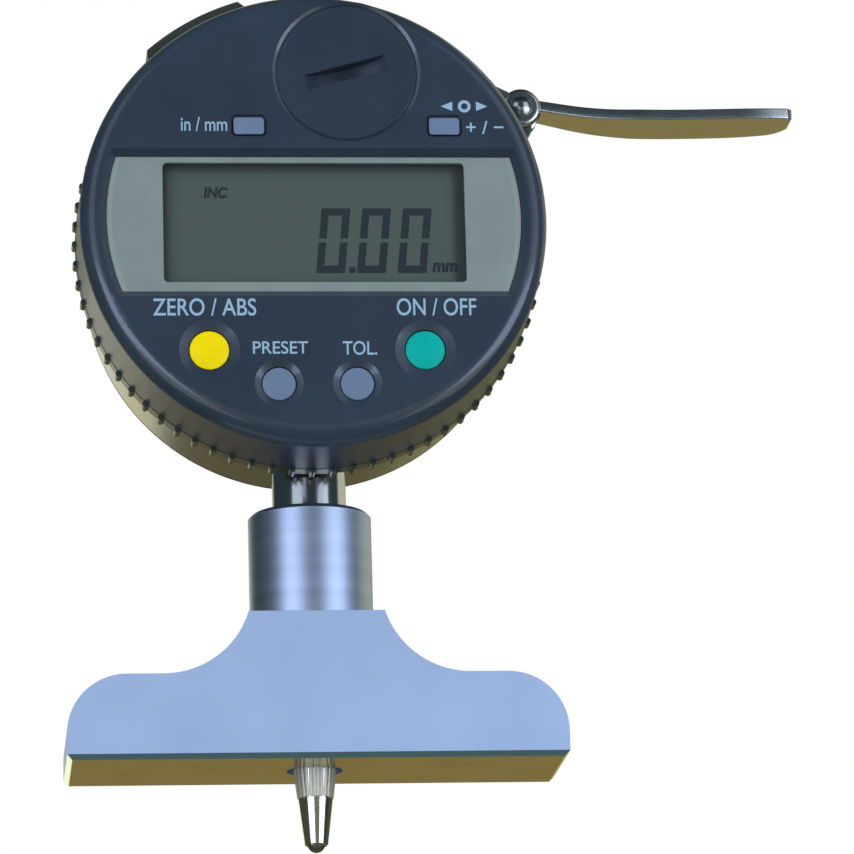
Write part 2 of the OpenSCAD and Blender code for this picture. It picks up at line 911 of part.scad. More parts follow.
module lcd_frame() {
    color("black") facing() translate([0, lcd_y, 0]) raised(board_front_f, lcd_front_f + 0.2)
        difference() {
            square([lcd_width + 2.4, lcd_height + 1.8], center = true);
            square([lcd_width + 0.1, lcd_height + 0.1], center = true);
        }
}

module contact_strips() {
    color("pink") facing() for (s = [-1, 1])
        translate([0, lcd_y + s * (lcd_height / 2 - 1), 0]) raised(board_front_f, lcd_back_f)
            square([lcd_width - 3, 1.4], center = true);
}

module main_board() {
    chip = 1;
    color("seagreen") facing() {
        difference() {
            disc(board_radius, board_back_f, board_front_f);
            disc(6.6, 0, 20);
            translate([cap_at[0], cap_at[1], 0]) disc(7.4, 0, 20);
            around(post_at, post_angles) disc(post_foot_radius + 0.1, 0, 20);
            socket_block(socket_width + 0.6, 20, 21.6, 30);
        }
        translate([-12, -12, board_back_f - chip]) cube([7, 7, chip + eps]);
        translate([8, -14, board_back_f - chip]) cube([5, 6, chip + eps]);
        for (at = [in_mm_at, direction_at])
            translate([at[0], at[1], board_front_f + 0.15]) cube([3, 2, 0.5], center = true);
    }
}

module key_mat() {
    color("gray") facing() raised(board_front_f, board_front_f + 0.4) difference() {
        intersection() {
            circle(r = 25.6);
            translate([-30, -30]) square([60, 30 - 11.4]);
        }
        around(post_at, post_angles) circle(r = post_radius + 0.1);
    }
}

module button_cell() {
    rim = 0.4;
    color("silver") facing() translate([cap_at[0], cap_at[1], 0]) {
        disc(cell_diameter / 2 - rim, cell_foot_f, cell_foot_f + rim + eps);
        disc(cell_diameter / 2, cell_foot_f + rim, cell_top_f);
    }
}

module cell_contact() {
    color("gold") facing() translate([cap_at[0], cap_at[1], 0])
        raised(well_floor_f, cell_foot_f) square([8, 3], center = true);
}

module data_socket() {
    color("black") facing() difference() {
        socket_block(socket_width, socket_height, 22.4, 28.6);
        socket_block(socket_width - 1.6, socket_height - 1.6, 24, 30);
    }
}

module socket_pins() {
    pitch = 1.6;
    color("gold") facing() rotate([0, 0, socket_angle])
        for (i = [-2 : 2], row = [-0.7, 0.7])
            translate([24, i * pitch, socket_f + row]) rotate([0, 90, 0])
                cylinder(r = 0.25, h = 3.5);
}

module connector_cover() {
    inner = band_radius + 0.1;
    half = cover_half_angle;
    color("black") facing() rotate([0, 0, socket_angle]) {
        raised(socket_f - 3.3, socket_f + 3.7) intersection() {
            difference() {
                circle(r = cover_radius);
                circle(r = inner);
            }
            polygon([[0, 0], [40 * cos(half + 0.8), -40 * sin(half + 0.8)],
                     [40 * cos(half + 0.8), 40 * sin(half + 0.8)]]);
            polygon([[20, -7.4], [29, -7.4], [31.2, -6.4], [32, -6.4],
                     [32, 6.4], [31.2, 6.4], [29, 7.4], [20, 7.4]]);
        }
        translate([28.7, -socket_width / 2 + 0.1, socket_f - socket_height / 2 + 0.1])
            cube([1.6, socket_width - 0.2, socket_height - 0.2]);
    }
}

// ---------- buttons and battery cap ----------

// A round button: domed cap, flange behind the face and a foot that presses the mat
module round_button(at, diameter) {
    dome = 0.25;
    radius = diameter / 2;
    dome_sphere = (pow(radius, 2) + pow(dome, 2)) / (2 * dome);
    facing() translate([at[0], at[1], 0]) {
        intersection() {
            disc(radius, flange_back_f, button_top_f);
            translate([0, 0, button_top_f - dome_sphere]) sphere(r = dome_sphere);
        }
        disc(radius + 0.6, flange_back_f, flange_front_f);
        disc(1.1, button_foot_f, flange_back_f + eps);
    }
}

module oblong_button(at) {
    facing() translate([at[0], at[1], 0]) {
        raised(flange_back_f, button_top_f) round_rectangle(oblong_width, oblong_height, 0.4);
        raised(flange_back_f, flange_front_f)
            round_rectangle(oblong_width + 0.8, oblong_height + 0.8, 0.6);
        disc(0.9, button_foot_f, flange_back_f + eps);
    }
}

module button_in_mm() color("slategray") oblong_button(in_mm_at);

module button_direction() color("slategray") oblong_button(direction_at);

module button_zero() color("gold") round_button(zero_at, large_button);

module button_preset() color("slategray") round_button(preset_at, small_button);

module button_tolerance() color("slategray") round_button(tolerance_at, small_button);

module button_on_off() color("darkcyan") round_button(on_off_at, large_button);

module cap_seal() {
    cord = (cap_head_f - cap_seat_f) / 2 - 0.02;
    color("black") facing() translate([cap_at[0], cap_at[1], (cap_head_f + cap_seat_f) / 2])
        rotate_extrude() translate([cap_thread_radius + cord + 0.05, 0]) circle(r = cord, $fn = 24);
}

module battery_cap() {
    edge = 0.2;
    color("darkslategray") facing() translate([cap_at[0], cap_at[1], 0]) difference() {
        union() {
            disc(cap_radius, cap_head_f, face_forward - edge);
            translate([0, 0, face_forward - edge])
                cylinder(r1 = cap_radius, r2 = cap_radius - edge, h = edge);
            disc(cap_thread_radius, cap_foot_f, cap_head_f + eps);
        }
        rotate([0, 0, slot_tilt]) translate([0, slot_width / 2, face_forward - slot_depth + slot_disc])
            rotate([90, 0, 0]) cylinder(r = slot_disc, h = slot_width, $fn = 96);
    }
}

base_block();
clamp_collar();
clamp_pad();
clamp_screw();
rear_case();
stem();
lower_bush();
upper_bush();
guide_rod();
detector_board();
detector_head();
detector_screws();
signal_ribbon();
swivel_retainer();
retainer_screws();
back_gasket();
back_cover();
back_cover_screws();
lever_bracket();
bracket_screws();
lever_pin();
return_spring();
front_housing();
grip_ring();
display_back_plate();
plate_screws();
face_panel();
window();
lcd_glass();
lcd_backing();
lcd_frame();
contact_strips();
main_board();
key_mat();
button_cell();
cell_contact();
data_socket();
socket_pins();
connector_cover();
button_in_mm();
button_direction();
button_zero();
button_preset();
button_tolerance();
button_on_off();
cap_seal();
battery_cap();
spindle();
contact_point();
contact_ball();
scale_carriage();
scale_strip();
lifting_collar();
lift_lever();
lift_finger();
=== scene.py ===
"""Looks of a digital depth gauge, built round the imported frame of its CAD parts.

The frame is in metres, +Z up, with the origin on the measuring axis in the plane of the base's
underside. The display faces -Y, and +X is to the reader's right.
"""

import json
import math

import bmesh
import bpy
from bpy.props import FloatProperty, FloatVectorProperty, IntProperty, PointerProperty
from mathutils import Matrix, Vector


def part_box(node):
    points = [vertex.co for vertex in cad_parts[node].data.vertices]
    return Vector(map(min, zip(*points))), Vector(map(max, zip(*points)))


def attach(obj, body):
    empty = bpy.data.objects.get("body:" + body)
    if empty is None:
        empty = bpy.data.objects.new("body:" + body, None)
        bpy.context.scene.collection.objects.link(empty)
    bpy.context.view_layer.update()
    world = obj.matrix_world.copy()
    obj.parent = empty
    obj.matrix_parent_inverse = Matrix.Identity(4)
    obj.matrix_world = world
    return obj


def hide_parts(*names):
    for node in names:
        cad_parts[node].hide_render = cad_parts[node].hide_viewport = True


bl_info = {
    "name": "Depth gauge",
    "version": (1, 0, 0),
    "blender": (4, 5, 0),
    "location": "3D View > Sidebar > Gauge",
    "description": "Dresses the parts of a digital depth gauge and sets its studio",
    "category": "Object",
}

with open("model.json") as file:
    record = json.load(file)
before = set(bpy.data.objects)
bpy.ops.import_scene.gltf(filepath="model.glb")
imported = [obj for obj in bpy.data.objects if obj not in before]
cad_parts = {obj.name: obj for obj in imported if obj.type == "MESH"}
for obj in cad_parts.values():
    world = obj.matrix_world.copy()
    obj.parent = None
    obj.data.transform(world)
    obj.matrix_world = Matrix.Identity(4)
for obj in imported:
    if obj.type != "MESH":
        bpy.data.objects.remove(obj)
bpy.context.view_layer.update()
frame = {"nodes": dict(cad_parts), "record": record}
MM, MICRON = 0.001, 0.000001
NODES = frame["nodes"]
SLOTS = {row["node"]: row["material_slot"] for row in frame["record"]["subparts"]}
FACE_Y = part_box("front_housing")[0].y
HEAD = Vector((0, 0, sum(c.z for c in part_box("grip_ring")) / 2))
PIN_LOW, PIN_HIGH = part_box("lever_pin")
PIVOT = Vector(((PIN_LOW.x + PIN_HIGH.x) / 2, 0, (PIN_LOW.z + PIN_HIGH.z) / 2))
LEVER_LOW, LEVER_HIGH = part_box("lift_lever")
HUB_RADIUS = PIVOT.x - LEVER_LOW.x
GLASS_LOW, GLASS_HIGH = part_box("lcd_glass")
# Parts whose finish isn't the one of their slot
OWN_FINISH = {
    "battery_cap": "cap_plastic",
    "connector_cover": "case_plastic",
    "contact_point": "contact_steel",
    "lever_pin": "satin_steel",
    "lift_lever": "satin_steel",
}


# ---------- sizes and colours ----------


def linear(*rgb):
    """A linear colour from the sRGB numbers that a colour picker shows."""
    return tuple((c / 255) ** 2.2 for c in rgb)


def colour(name, description, rgb):
    """A colour property whose default is given as a colour picker shows it."""
    return FloatVectorProperty(
        name=name, description=description, subtype="COLOR", size=3, min=0, max=1,
        default=linear(*rgb),
    )


def length(name, description, default):
    return FloatProperty(
        name=name, description=description, subtype="DISTANCE", unit="LENGTH", default=default
    )


class GaugeColours(bpy.types.PropertyGroup):
    """Colours of the gauge's surfaces"""

    # Painted reflection: the ground steel's pale blue, and part of its brightness, stand in for the
    # cool light the base's sides mirror.
    ground_steel: colour("Ground steel", "Sides of the base", (171, 199, 243))
    turned_steel: colour("Turned steel", "Clamp collar", (204, 214, 232))
    polished_steel: colour("Polished steel", "Stem, spindle, lever and contact", (214, 216, 214))
    housing: colour("Housing", "Front housing and battery cap", (50, 63, 80))
    case: colour("Case", "Rear case, cover and grip ring", (62, 68, 66))
    panel: colour("Panel", "Silver panel round the window", (139, 155, 155))
    display: colour("Display", "Liquid-crystal glass", (78, 92, 90))
    segments: colour("Segments", "Digits of the display", (10, 28, 46))
    print_ink: colour("Print", "Words on the face", (152, 192, 226))
    zero_button: colour("Zero button", "Button for zero", (255, 234, 0))
    power_button: colour("Power button", "Button for on and off", (0, 181, 177))
    plain_button: colour("Plain buttons", "The four other buttons", (110, 132, 166))


class GaugeSizes(bpy.types.PropertyGroup):
    """Sizes of the pieces that Blender makes"""

    digit_height: length("Digit height", "Height of the display's digits", 8.6 * MM)
    digit_width: length("Digit width", "Width of a digit, without its slant", 3.7 * MM)
    digit_pitch: length("Digit pitch", "Distance from one digit to the next", 5.2 * MM)
    bar_width: length("Bar width", "Width of the bars of a digit", 0.98 * MM)
    digit_slant: FloatProperty(
        name="Digit slant",
        description="Lean of the digits",
        subtype="ANGLE",
        default=math.radians(6),
    )
    blade_thickness: length("Blade thickness", "Thickness of the lever's blade", 1.45 * MM)
    blade_edge: length("Blade edge", "Radius of the blade's rounded edges", 0.2 * MM)
    hub_edge: length("Hub edge", "Radius round the front of the lever's curl", 0.6 * MM)
    flute_count: IntProperty(
        name="Flutes", description="Number of flutes round the contact point", default=24, min=6
    )
    flute_height: length("Flute height", "How far a flute's crest stands out", 0.07 * MM)
    flute_width: length("Flute width", "Width of a flute at its sunken root", 1.3 * MM)


class GaugeStage(bpy.types.PropertyGroup):
    """Sizes and lights of the studio"""

    floor_drop: length("Floor drop", "Height of the floor below the base", 0.5)
    floor_radius: length("Floor radius", "Radius of the floor", 8.0)
    lamp_distance: length("Lamp distance", "Distance from the gauge to each soft box", 1.3)
    lamp_width: length("Lamp width", "Width of each soft box", 0.62)
    lamp_height: length("Lamp height", "Height of each soft box", 1.6)
    lamp_level: FloatProperty(
        name="Lamp level", description="Radiance of the two soft boxes", default=2.2, min=0
    )
    fill_level: FloatProperty(
        name="Fill level", description="Strength of the world on matt surfaces", default=0.42, min=0
    )


# ---------- shader maths ----------


class Value:
    """A number in a material that can be used in sums: each operator adds its Math node."""

    def __init__(self, finish, socket):
        self.finish, self.socket = finish, socket

    def sum(self, operation, other):
        return self.finish.node("Math", {"operation": operation}, [self, other])

    def __add__(self, other):
        return self.sum("ADD", other)

    def __sub__(self, other):
        return self.sum("SUBTRACT", other)

    def __mul__(self, other):
        return self.sum("MULTIPLY", other)

    def __rsub__(self, other):
        return self.finish.node("Math", {"operation": "SUBTRACT"}, [other, self])

    def __pow__(self, other):
        return self.sum("POWER", other)

    def __lt__(self, other):
        return self.sum("LESS_THAN", other)

    __radd__ = __add__
    __rmul__ = __mul__

    def between(self, low, high):
        """0 below low, 1 above high and a straight ramp between them."""
        return self.finish.node("MapRange", {"clamp": True}, [self, low, high, 0.0, 1.0])


# Places of the Mix node's sockets for colours, whose names occur more than once
MIX_FACTOR, MIX_A, MIX_B, MIX_RESULT = 0, 6, 7, 2


class Finish:
    """A material under construction. Sizes and heights are in metres."""

    def __init__(self, name):
        self.material = bpy.data.materials.new(name)
        self.material.use_nodes = True
        self.tree = self.material.node_tree
        self.tree.nodes.clear()

    def node(self, kind, settings=None, inputs=(), out=0):
        """Adds a node: settings first, then values or links for its sockets by place or name."""
        made = self.tree.nodes.new("ShaderNode" + kind)
        for key, value in (settings or {}).items():
            setattr(made, key, value)
        pairs = inputs.items() if isinstance(inputs, dict) else enumerate(inputs)
        for key, value in pairs:
            if value is not None:
                self.feed(made.inputs[key], value)
        return Value(self, made.outputs[out]) if made.outputs else None

    def feed(self, socket, value):
        if isinstance(value, Value):
            self.tree.links.new(value.socket, socket)
        elif hasattr(value, "__len__") and socket.type == "RGBA":
            socket.default_value = [*value][:3] + [1.0]
        else:
            socket.default_value = value

    def facing(self, axis):
        """How far the surface faces along the piece's own axis 0, 1 or 2, from -1 to 1."""
        normal = self.node("TexCoord", out="Normal")
        return self.node("SeparateXYZ", inputs=[normal], out=axis)

    def along(self, axis):
        """The piece's own coordinate along axis 0, 1 or 2."""
        place = self.node("TexCoord", out="Object")
        return self.node("SeparateXYZ", inputs=[place], out=axis)

    def pattern_place(self, size, stretch, offset):
        """The piece's own coordinates in units of size, stretched by axis and shifted."""
        return self.node("Mapping", inputs={
            "Vector": self.node("TexCoord", out="Object"),
            "Location": (offset, offset, offset),
            "Scale": tuple(s / size for s in stretch),
        })

    def noise(self, size, detail=2.0, rough=0.5, stretch=(1, 1, 1), offset=0.0):
        """Soft noise from 0 to 1 whose lumps are about size across."""
        return self.node("TexNoise", inputs={
            "Vector": self.pattern_place(size, stretch, offset),
            "Scale": 1.0, "Detail": detail, "Roughness": rough,
        })

    def cells(self, size, offset=0.0):
        """Distance from the nearest of many scattered points about size apart."""
        return self.node("TexVoronoi", inputs={
            "Vector": self.pattern_place(size, (1, 1, 1), offset), "Scale": 1.0
        })

    def tint(self, mask, low, high):
        """A colour that goes from low to high as the mask goes from 0 to 1."""
        sockets = {MIX_FACTOR: mask, MIX_A: low, MIX_B: high}
        return self.node("Mix", {"data_type": "RGBA"}, sockets, out=MIX_RESULT)

    def relief(self, height, depth, soften=0.0):
        """A normal for that height times depth, with edges rounded by soften."""
        under = None
        if soften:
            under = self.node("Bevel", {"samples": 4}, {"Radius": soften})
        return self.node("Bump", inputs={
            "Height": height, "Distance": depth, "Strength": 1.0, "Normal": under
        })

    def surface(self, **sockets):
        """The shader itself: its sockets' names with _ for spaces."""
        shader = self.node("BsdfPrincipled", inputs={
            key.replace("_", " "): value for key, value in sockets.items()
        })
        self.node("OutputMaterial", inputs=[shader])
        return self.material


def shade(rgb, factor):
    return tuple(c * factor for c in rgb)


# ---------- finishes ----------


def ground_steel(colours):
    """Surface-ground sides with a fine level grain, and a lapped underside like a mirror, whose
    warm straw tone in blotches is a painted reflection of warm surroundings below.
    """
    f = Finish("ground_steel")
    # Painted reflection: this pale blue, on sides that are partly matt, stands in for the cool
    # light they mirror.
    blue = tuple(colours.ground_steel)
    grain = f.noise(0.12 * MM, 3, 0.6, stretch=(0.02, 1, 1))
    cloud = f.noise(12 * MM, 2, 0.5)
    side = f.tint(cloud.between(0.3, 0.75), shade(blue, 0.93), shade(blue, 1.05))
    side = f.tint(grain.between(0.35, 0.8) * 0.14, side, shade(blue, 0.72))
    down = (f.facing(2) * -1).between(0.9, 0.98)
    bevel = (f.facing(2) * -1).between(0.3, 0.5)
    # Painted reflection: the underside's warm straw tone, in blotches, stands in for warm
    # surroundings mirrored below it.
    blotches = f.noise(7 * MM, 4, 0.6, offset=3.0).between(0.52, 0.72)
    lapped = f.tint(blotches * 0.5, linear(190, 178, 140), linear(150, 132, 104))
    edge = f.tint(bevel, side, linear(206, 230, 218))
    return f.surface(
        Base_Color=f.tint(down, edge, lapped),
        Metallic=bevel * 0.7 + 0.3,
        Roughness=(grain * 0.12 + 0.42) * (1 - bevel) + bevel * 0.1,
        Normal=f.relief(grain * (1 - down), 2 * MICRON, soften=0.12 * MM),
    )


def turned_steel(colours):
    """Fine rings from the lathe, and brighter bands where the feed changed."""
    f = Finish("turned_steel")
    steel = tuple(colours.turned_steel)
    rings = f.noise(0.06 * MM, 2, 0.7, stretch=(0.004, 0.004, 1))
    bands = f.noise(1.6 * MM, 2, 0.6, stretch=(0.02, 0.02, 1), offset=5.0)
    tone = f.tint(bands.between(0.3, 0.7), shade(steel, 0.88), shade(steel, 1.08))
    return f.surface(
        Base_Color=f.tint(rings.between(0.3, 0.8) * 0.14, tone, shade(steel, 0.6)),
        Metallic=1.0,
        Roughness=bands * 0.12 + 0.35,
        Normal=f.relief(rings, 1.5 * MICRON, soften=0.12 * MM),
    )


def polished_steel(name, tone, roughness=0.12, below=0.0, metallic=1.0):
    """Polished steel with faint smears and drawn lines. Where it faces down, its roughness is
    less by below."""
    f = Finish(name)
    smear = f.noise(4 * MM, 3, 0.55)
    lines = f.noise(0.08 * MM, 2, 0.6, stretch=(1, 1, 0.03))
    down = (f.facing(2) * -1).between(0.9, 0.97)
    return f.surface(
        Base_Color=f.tint(smear.between(0.35, 0.8), tone, shade(tone, 0.88)),
        Metallic=metallic,
        Roughness=smear * 0.06 + roughness - down * below,
        Normal=f.relief(lines, 0.6 * MICRON, soften=0.1 * MM),
    )


def screw_steel(name, tone, metallic=1.0, roughness=0.3):
    f = Finish(name)
    wear = f.noise(0.6 * MM, 3, 0.6)
    return f.surface(
        Base_Color=f.tint(wear, shade(tone, 0.75), shade(tone, 1.1)),
        Metallic=metallic,
        Roughness=wear * 0.15 + roughness,
        Normal=f.relief(wear, 6 * MICRON, soften=0.08 * MM),
    )


def moulded_plastic(name, tone, roughness=0.3, gloss=None, bowls=None):
    """Satin moulded plastic: a fine pebble, and cloudy changes of tone. From the finish, gloss
    makes the weight of a glossy coat, and bowls the height of hollows in the surface."""
    f = Finish(name)
    pebble = f.noise(0.12 * MM, 3, 0.6)
    cloud = f.noise(9 * MM, 3, 0.55, offset=2.0)
    dust = f.cells(0.9 * MM, offset=1.0) < 0.06
    body = f.tint(cloud.between(0.3, 0.7), shade(tone, 0.88), shade(tone, 1.12))
    coat = gloss(f) if gloss else 0.0
    height = pebble * (3 * MICRON)
    return f.surface(
        Base_Color=f.tint(dust * 0.25, body, shade(tone, 1.8)),
        Roughness=pebble * 0.1 + cloud * 0.05 + roughness,
        Specular_IOR_Level=0.25,
        Coat_Weight=coat,
        Coat_Roughness=0.14,
        Normal=f.relief(bowls(f) + height if bowls else height, 1.0, soften=0.1 * MM),
    )


def distance_from(f, x, z):
    """Distance from a line along Y through that place."""
    return ((f.along(0) - x) ** 2 + (f.along(2) - z) ** 2) ** 0.5


# Weight of the coat on the face and on the band, and the radii between which it changes
FACE_COAT, BAND_COAT = 0.9, 0.12
FACE_EDGE = (29.5 * MM, 29.75 * MM)
# Distances from the middle between which the band's coat comes in, so there's none by the stem
BAND_FADE = (7 * MM, 14 * MM)
# Depths below the face between which the walls of the cap's slot lose their coat
SLOT_WALL = (0.12 * MM, 0.25 * MM)


def band_gloss(f):
    """The housing's face is glossy, and the band round its outside nearly matt."""
    far = (f.along(0) ** 2).between(*(x ** 2 for x in BAND_FADE))
    on_band = distance_from(f, 0, HEAD.z).between(*FACE_EDGE)
    return FACE_COAT - on_band * (FACE_COAT - far * BAND_COAT)


def slot_gloss(f):
    """The battery cap is glossy, but not the walls of its slot, below its face."""
    return FACE_COAT - (f.along(1) - FACE_Y).between(*SLOT_WALL) * FACE_COAT


# Radius of the hollow round each round button, the width of its rim and the rim's height
BOWL_RADII = {
    "zero": 3.85 * MM, "preset": 3.1 * MM, "tolerance": 3.1 * MM, "on_off": 3.85 * MM,
}
BOWL_WALL, BOWL_DEPTH = 1.25 * MM, 0.14 * MM


def button_bowls(f):
    """The steeper rims of the hollows round the round buttons."""
    height = 0.0
    for name, radius in BOWL_RADII.items():
        low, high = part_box("button_" + name)
        middle = (low + high) / 2
        rise = distance_from(f, middle.x, middle.z).between(radius - BOWL_WALL, radius)
        height = height + (rise - 1) * BOWL_DEPTH
    return height


def die_cast(name, tone):
    """Satin-coated die casting with a faint orange peel."""
    f = Finish(name)
    peel = f.noise(0.5 * MM, 3, 0.5)
    cloud = f.noise(10 * MM, 2, 0.5, offset=4.0)
    return f.surface(
        Base_Color=f.tint(cloud, shade(tone, 0.85), shade(tone, 1.15)),
        Metallic=0.0,
        Roughness=peel * 0.05 + 0.11,
        Normal=f.relief(peel, 12 * MICRON, soften=0.12 * MM),
    )


# Radii between which the panel's tone changes to its rim's paler tone, a painted highlight of its
# edge
PANEL_RIM_HIGHLIGHT = (25.6 * MM, 25.9 * MM)


def silver_panel(colours):
    """Silver paint with a fine stipple, and a paler rim that is a painted highlight of its edge."""
    f = Finish("silver_panel")
    tone = tuple(colours.panel)
    stipple = f.noise(0.22 * MM, 3, 0.7)
    cloud = f.noise(6 * MM, 3, 0.6, offset=7.0)
    body = f.tint(cloud.between(0.3, 0.7), shade(tone, 0.92), shade(tone, 1.08))
    body = f.tint(stipple.between(0.4, 0.7) * 0.3, body, shade(tone, 0.8))
    # Painted highlight: the paler tone towards the panel's rim
    rim = distance_from(f, 0, HEAD.z).between(*PANEL_RIM_HIGHLIGHT)
    return f.surface(
        Base_Color=f.tint(rim, body, linear(152, 164, 167)),
        Metallic=0.25,
        Roughness=stipple * 0.15 + 0.42,
        Normal=f.relief(stipple, 6 * MICRON, soften=0.08 * MM),
    )


# Distances from the glass's middle between which its dark margin ends or starts. The margin is
# partly the display's dark frame and partly painted shade from the window's edge
SHADED_MARGIN_LEFT, SHADED_MARGIN_RIGHT = (-19.0 * MM, -18.4 * MM), (17.5 * MM, 18.4 * MM)
SHADED_MARGIN_TOP = (6.8 * MM, 8.0 * MM)


def display_glass(colours):
    """The grey-green background of a liquid-crystal display, a little uneven, with a dark
    margin at its left, right and top, partly the display's dark frame and partly painted shade."""
    f = Finish("display_glass")
    tone = tuple(colours.display)
    cloud = f.noise(11 * MM, 3, 0.5, offset=1.5)
    green = (tone[0] * 0.86, tone[1] * 1.03, tone[2] * 0.97)
    grid = f.noise(0.3 * MM, 1, 0.5)
    body = f.tint(cloud.between(0.35, 0.7), tone, green)
    body = f.tint(grid * 0.1, body, shade(tone, 1.15))
    middle = (GLASS_LOW + GLASS_HIGH) / 2
    across, up = f.along(0) - middle.x, f.along(2) - middle.z
    clear = across.between(*SHADED_MARGIN_LEFT) * (1 - across.between(*SHADED_MARGIN_RIGHT))
    clear = clear * (1 - up.between(*SHADED_MARGIN_TOP))
    return f.surface(
        # Painted shade: the dark tone of the margin towards the window's edges
        Base_Color=f.tint(clear, linear(46, 58, 62), body),
        Roughness=grid * 0.1 + 0.5,
    )


def clear_window():
    """Clear moulded window: nearly unseen, with a faint gloss and a few specks."""
    f = Finish("clear_window")
    speck = f.cells(1.6 * MM, offset=4.0) < 0.03
    haze = f.noise(8 * MM, 2, 0.5)
    return f.surface(
        Base_Color=f.tint(speck, linear(96, 110, 108), linear(220, 225, 225)),
        Roughness=haze * 0.05 + 0.08,
        Alpha=speck * 0.2 + haze * 0.04 + 0.06,
    )


def circuit_board():
    f = Finish("circuit_board")
    tracks = f.noise(1.1 * MM, 1, 0.4, stretch=(1, 1, 0.25)).between(0.5, 0.56)
    return f.surface(
        Base_Color=f.tint(tracks, linear(16, 92, 58), linear(40, 128, 80)),
        Roughness=tracks * 0.1 + 0.35,
        Normal=f.relief(tracks, 20 * MICRON),
    )


def soft_rubber(name, tone):
    f = Finish(name)
    bloom = f.noise(0.8 * MM, 3, 0.6)
    return f.surface(
        Base_Color=f.tint(bloom, shade(tone, 0.8), shade(tone, 1.25)),
        Roughness=bloom * 0.1 + 0.6,
        Normal=f.relief(bloom, 10 * MICRON, soften=0.1 * MM),
    )


def button_plastic(name, tone):
    """Glossy moulded button, darker towards its edge: painted shade on its rim where it turns from
    the front.
    """
    f = Finish(name)
    pebble = f.noise(0.15 * MM, 2, 0.6)
    cloud = f.noise(2.2 * MM, 2, 0.5)
    front = (f.facing(1) * -1).between(0.4, 0.97)
    body = f.tint(cloud.between(0.3, 0.75), tone, shade(tone, 0.92))
    return f.surface(
        # Painted shade: where the button doesn't face the front, its tone falls to 0.3
        Base_Color=f.tint(front, shade(tone, 0.3), body),
        Roughness=pebble * 0.1 + 0.33,
        Specular_IOR_Level=0.12,
        Normal=f.relief(pebble, 4 * MICRON, soften=0.25 * MM),
    )


def printed_ink(name, tone):
    f = Finish(name)
    patch = f.noise(0.25 * MM, 2, 0.6)
    return f.surface(
        Base_Color=f.tint(patch, tone, shade(tone, 0.84)),
        Roughness=patch * 0.1 + 0.5,
    )


def lit_segments(colours):
    """Dark marks of the liquid crystal, a little patchy."""
    f = Finish("lit_segments")
    tone = tuple(colours.segments)
    patch = f.noise(0.6 * MM, 2, 0.5)
    return f.surface(
        Base_Color=f.tint(patch, shade(tone, 0.85), shade(tone, 1.2)),
        Roughness=patch * 0.1 + 0.45,
    )


def finishes(colours):
    """The finish of every material slot, and those of the parts in OWN_FINISH and the flutes."""
    polished = tuple(colours.polished_steel)
    housing, case = tuple(colours.housing), tuple(colours.case)
    return {
        "lapped_steel": ground_steel(colours),
        "turned_steel": turned_steel(colours),
        "polished_steel": polished_steel("polished_steel", polished),
        "steel_screw": screw_steel("steel_screw", linear(190, 192, 194)),
        "dark_screw": screw_steel("dark_screw", linear(52, 54, 58), 0.6, 0.35),
        "brass": screw_steel("brass", linear(206, 172, 100)),
        "case_metal": die_cast("case_metal", case),
        "case_plastic": moulded_plastic("case_plastic", case, 0.24),
        "housing_plastic": moulded_plastic(
            "housing_plastic", housing, 0.3, band_gloss, button_bowls
        ),
        "cap_plastic": moulded_plastic("cap_plastic", housing, 0.3, slot_gloss),
        "satin_steel": polished_steel("satin_steel", polished, 0.2, 0.14),
        # Painted reflection: the warm tints of the contact and its flutes, and the flutes' pale
        # partly matt share, stand in for warm light they mirror.
        "contact_steel": polished_steel("contact_steel", (0.68, 0.64, 0.5)),
        "flute_steel": polished_steel("flute_steel", (0.62, 0.6, 0.49), 0.42, metallic=0.45),
        # Painted fill light: the bracket's tone is lighter than the case's to make up for the shade
        # it sits in.
        "bracket_metal": die_cast("bracket_metal", linear(84, 94, 100)),
        "panel_silver": silver_panel(colours),
        "window_clear": clear_window(),
        "lcd": display_glass(colours),
        "lcd_white": soft_rubber("lcd_white", linear(225, 225, 220)),
        "black_plastic": moulded_plastic("black_plastic", linear(38, 44, 44), 0.3),
        "board_green": circuit_board(),
        "rubber_black": soft_rubber("rubber_black", linear(34, 34, 34)),
        "rubber_grey": soft_rubber("rubber_grey", linear(150, 150, 150)),
        "gold_plate": screw_steel("gold_plate", linear(236, 200, 120), 1.0, 0.2),
        "cell_steel": polished_steel("cell_steel", linear(216, 216, 212), 0.18),
        "button_yellow": button_plastic("button_yellow", tuple(colours.zero_button)),
        "button_green": button_plastic("button_green", tuple(colours.power_button)),
        "button_grey": button_plastic("button_grey", tuple(colours.plain_button)),
        "carbide": screw_steel("carbide", linear(92, 98, 82), 0.5, 0.3),
        "alloy": screw_steel("alloy", linear(170, 172, 176), 1.0, 0.4),
        "scale_glass": screw_steel("scale_glass", linear(120, 140, 150), 0.3, 0.2),
        "ribbon_amber": soft_rubber("ribbon_amber", linear(200, 132, 40)),
    }


# ---------- making pieces ----------


def add_mesh(name, mesh, material=None):
    """Links a mesh as a piece at the origin."""
    piece = bpy.data.objects.new(name, mesh)
    bpy.context.scene.collection.objects.link(piece)
    if material:
        mesh.materials.append(material)
    return piece


def mount(piece, body):
    """The piece rides on a body."""
    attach(piece, body)


def plain_mesh(b, name):
    """A mesh from bmesh data as it is."""
    mesh = bpy.data.meshes.new(name)
    b.to_mesh(mesh)
    b.free()
    return mesh


def mesh_from(b, name, crease=40):
    """A mesh from bmesh data, with its faces outwards and edges over crease degrees sharp."""
    bmesh.ops.remove_doubles(b, verts=b.verts, dist=1e-7)
    bmesh.ops.recalc_face_normals(b, faces=b.faces)
    mesh = plain_mesh(b, name)
    mesh.shade_smooth()
    mesh.set_sharp_from_angle(angle=math.radians(crease))
    return mesh


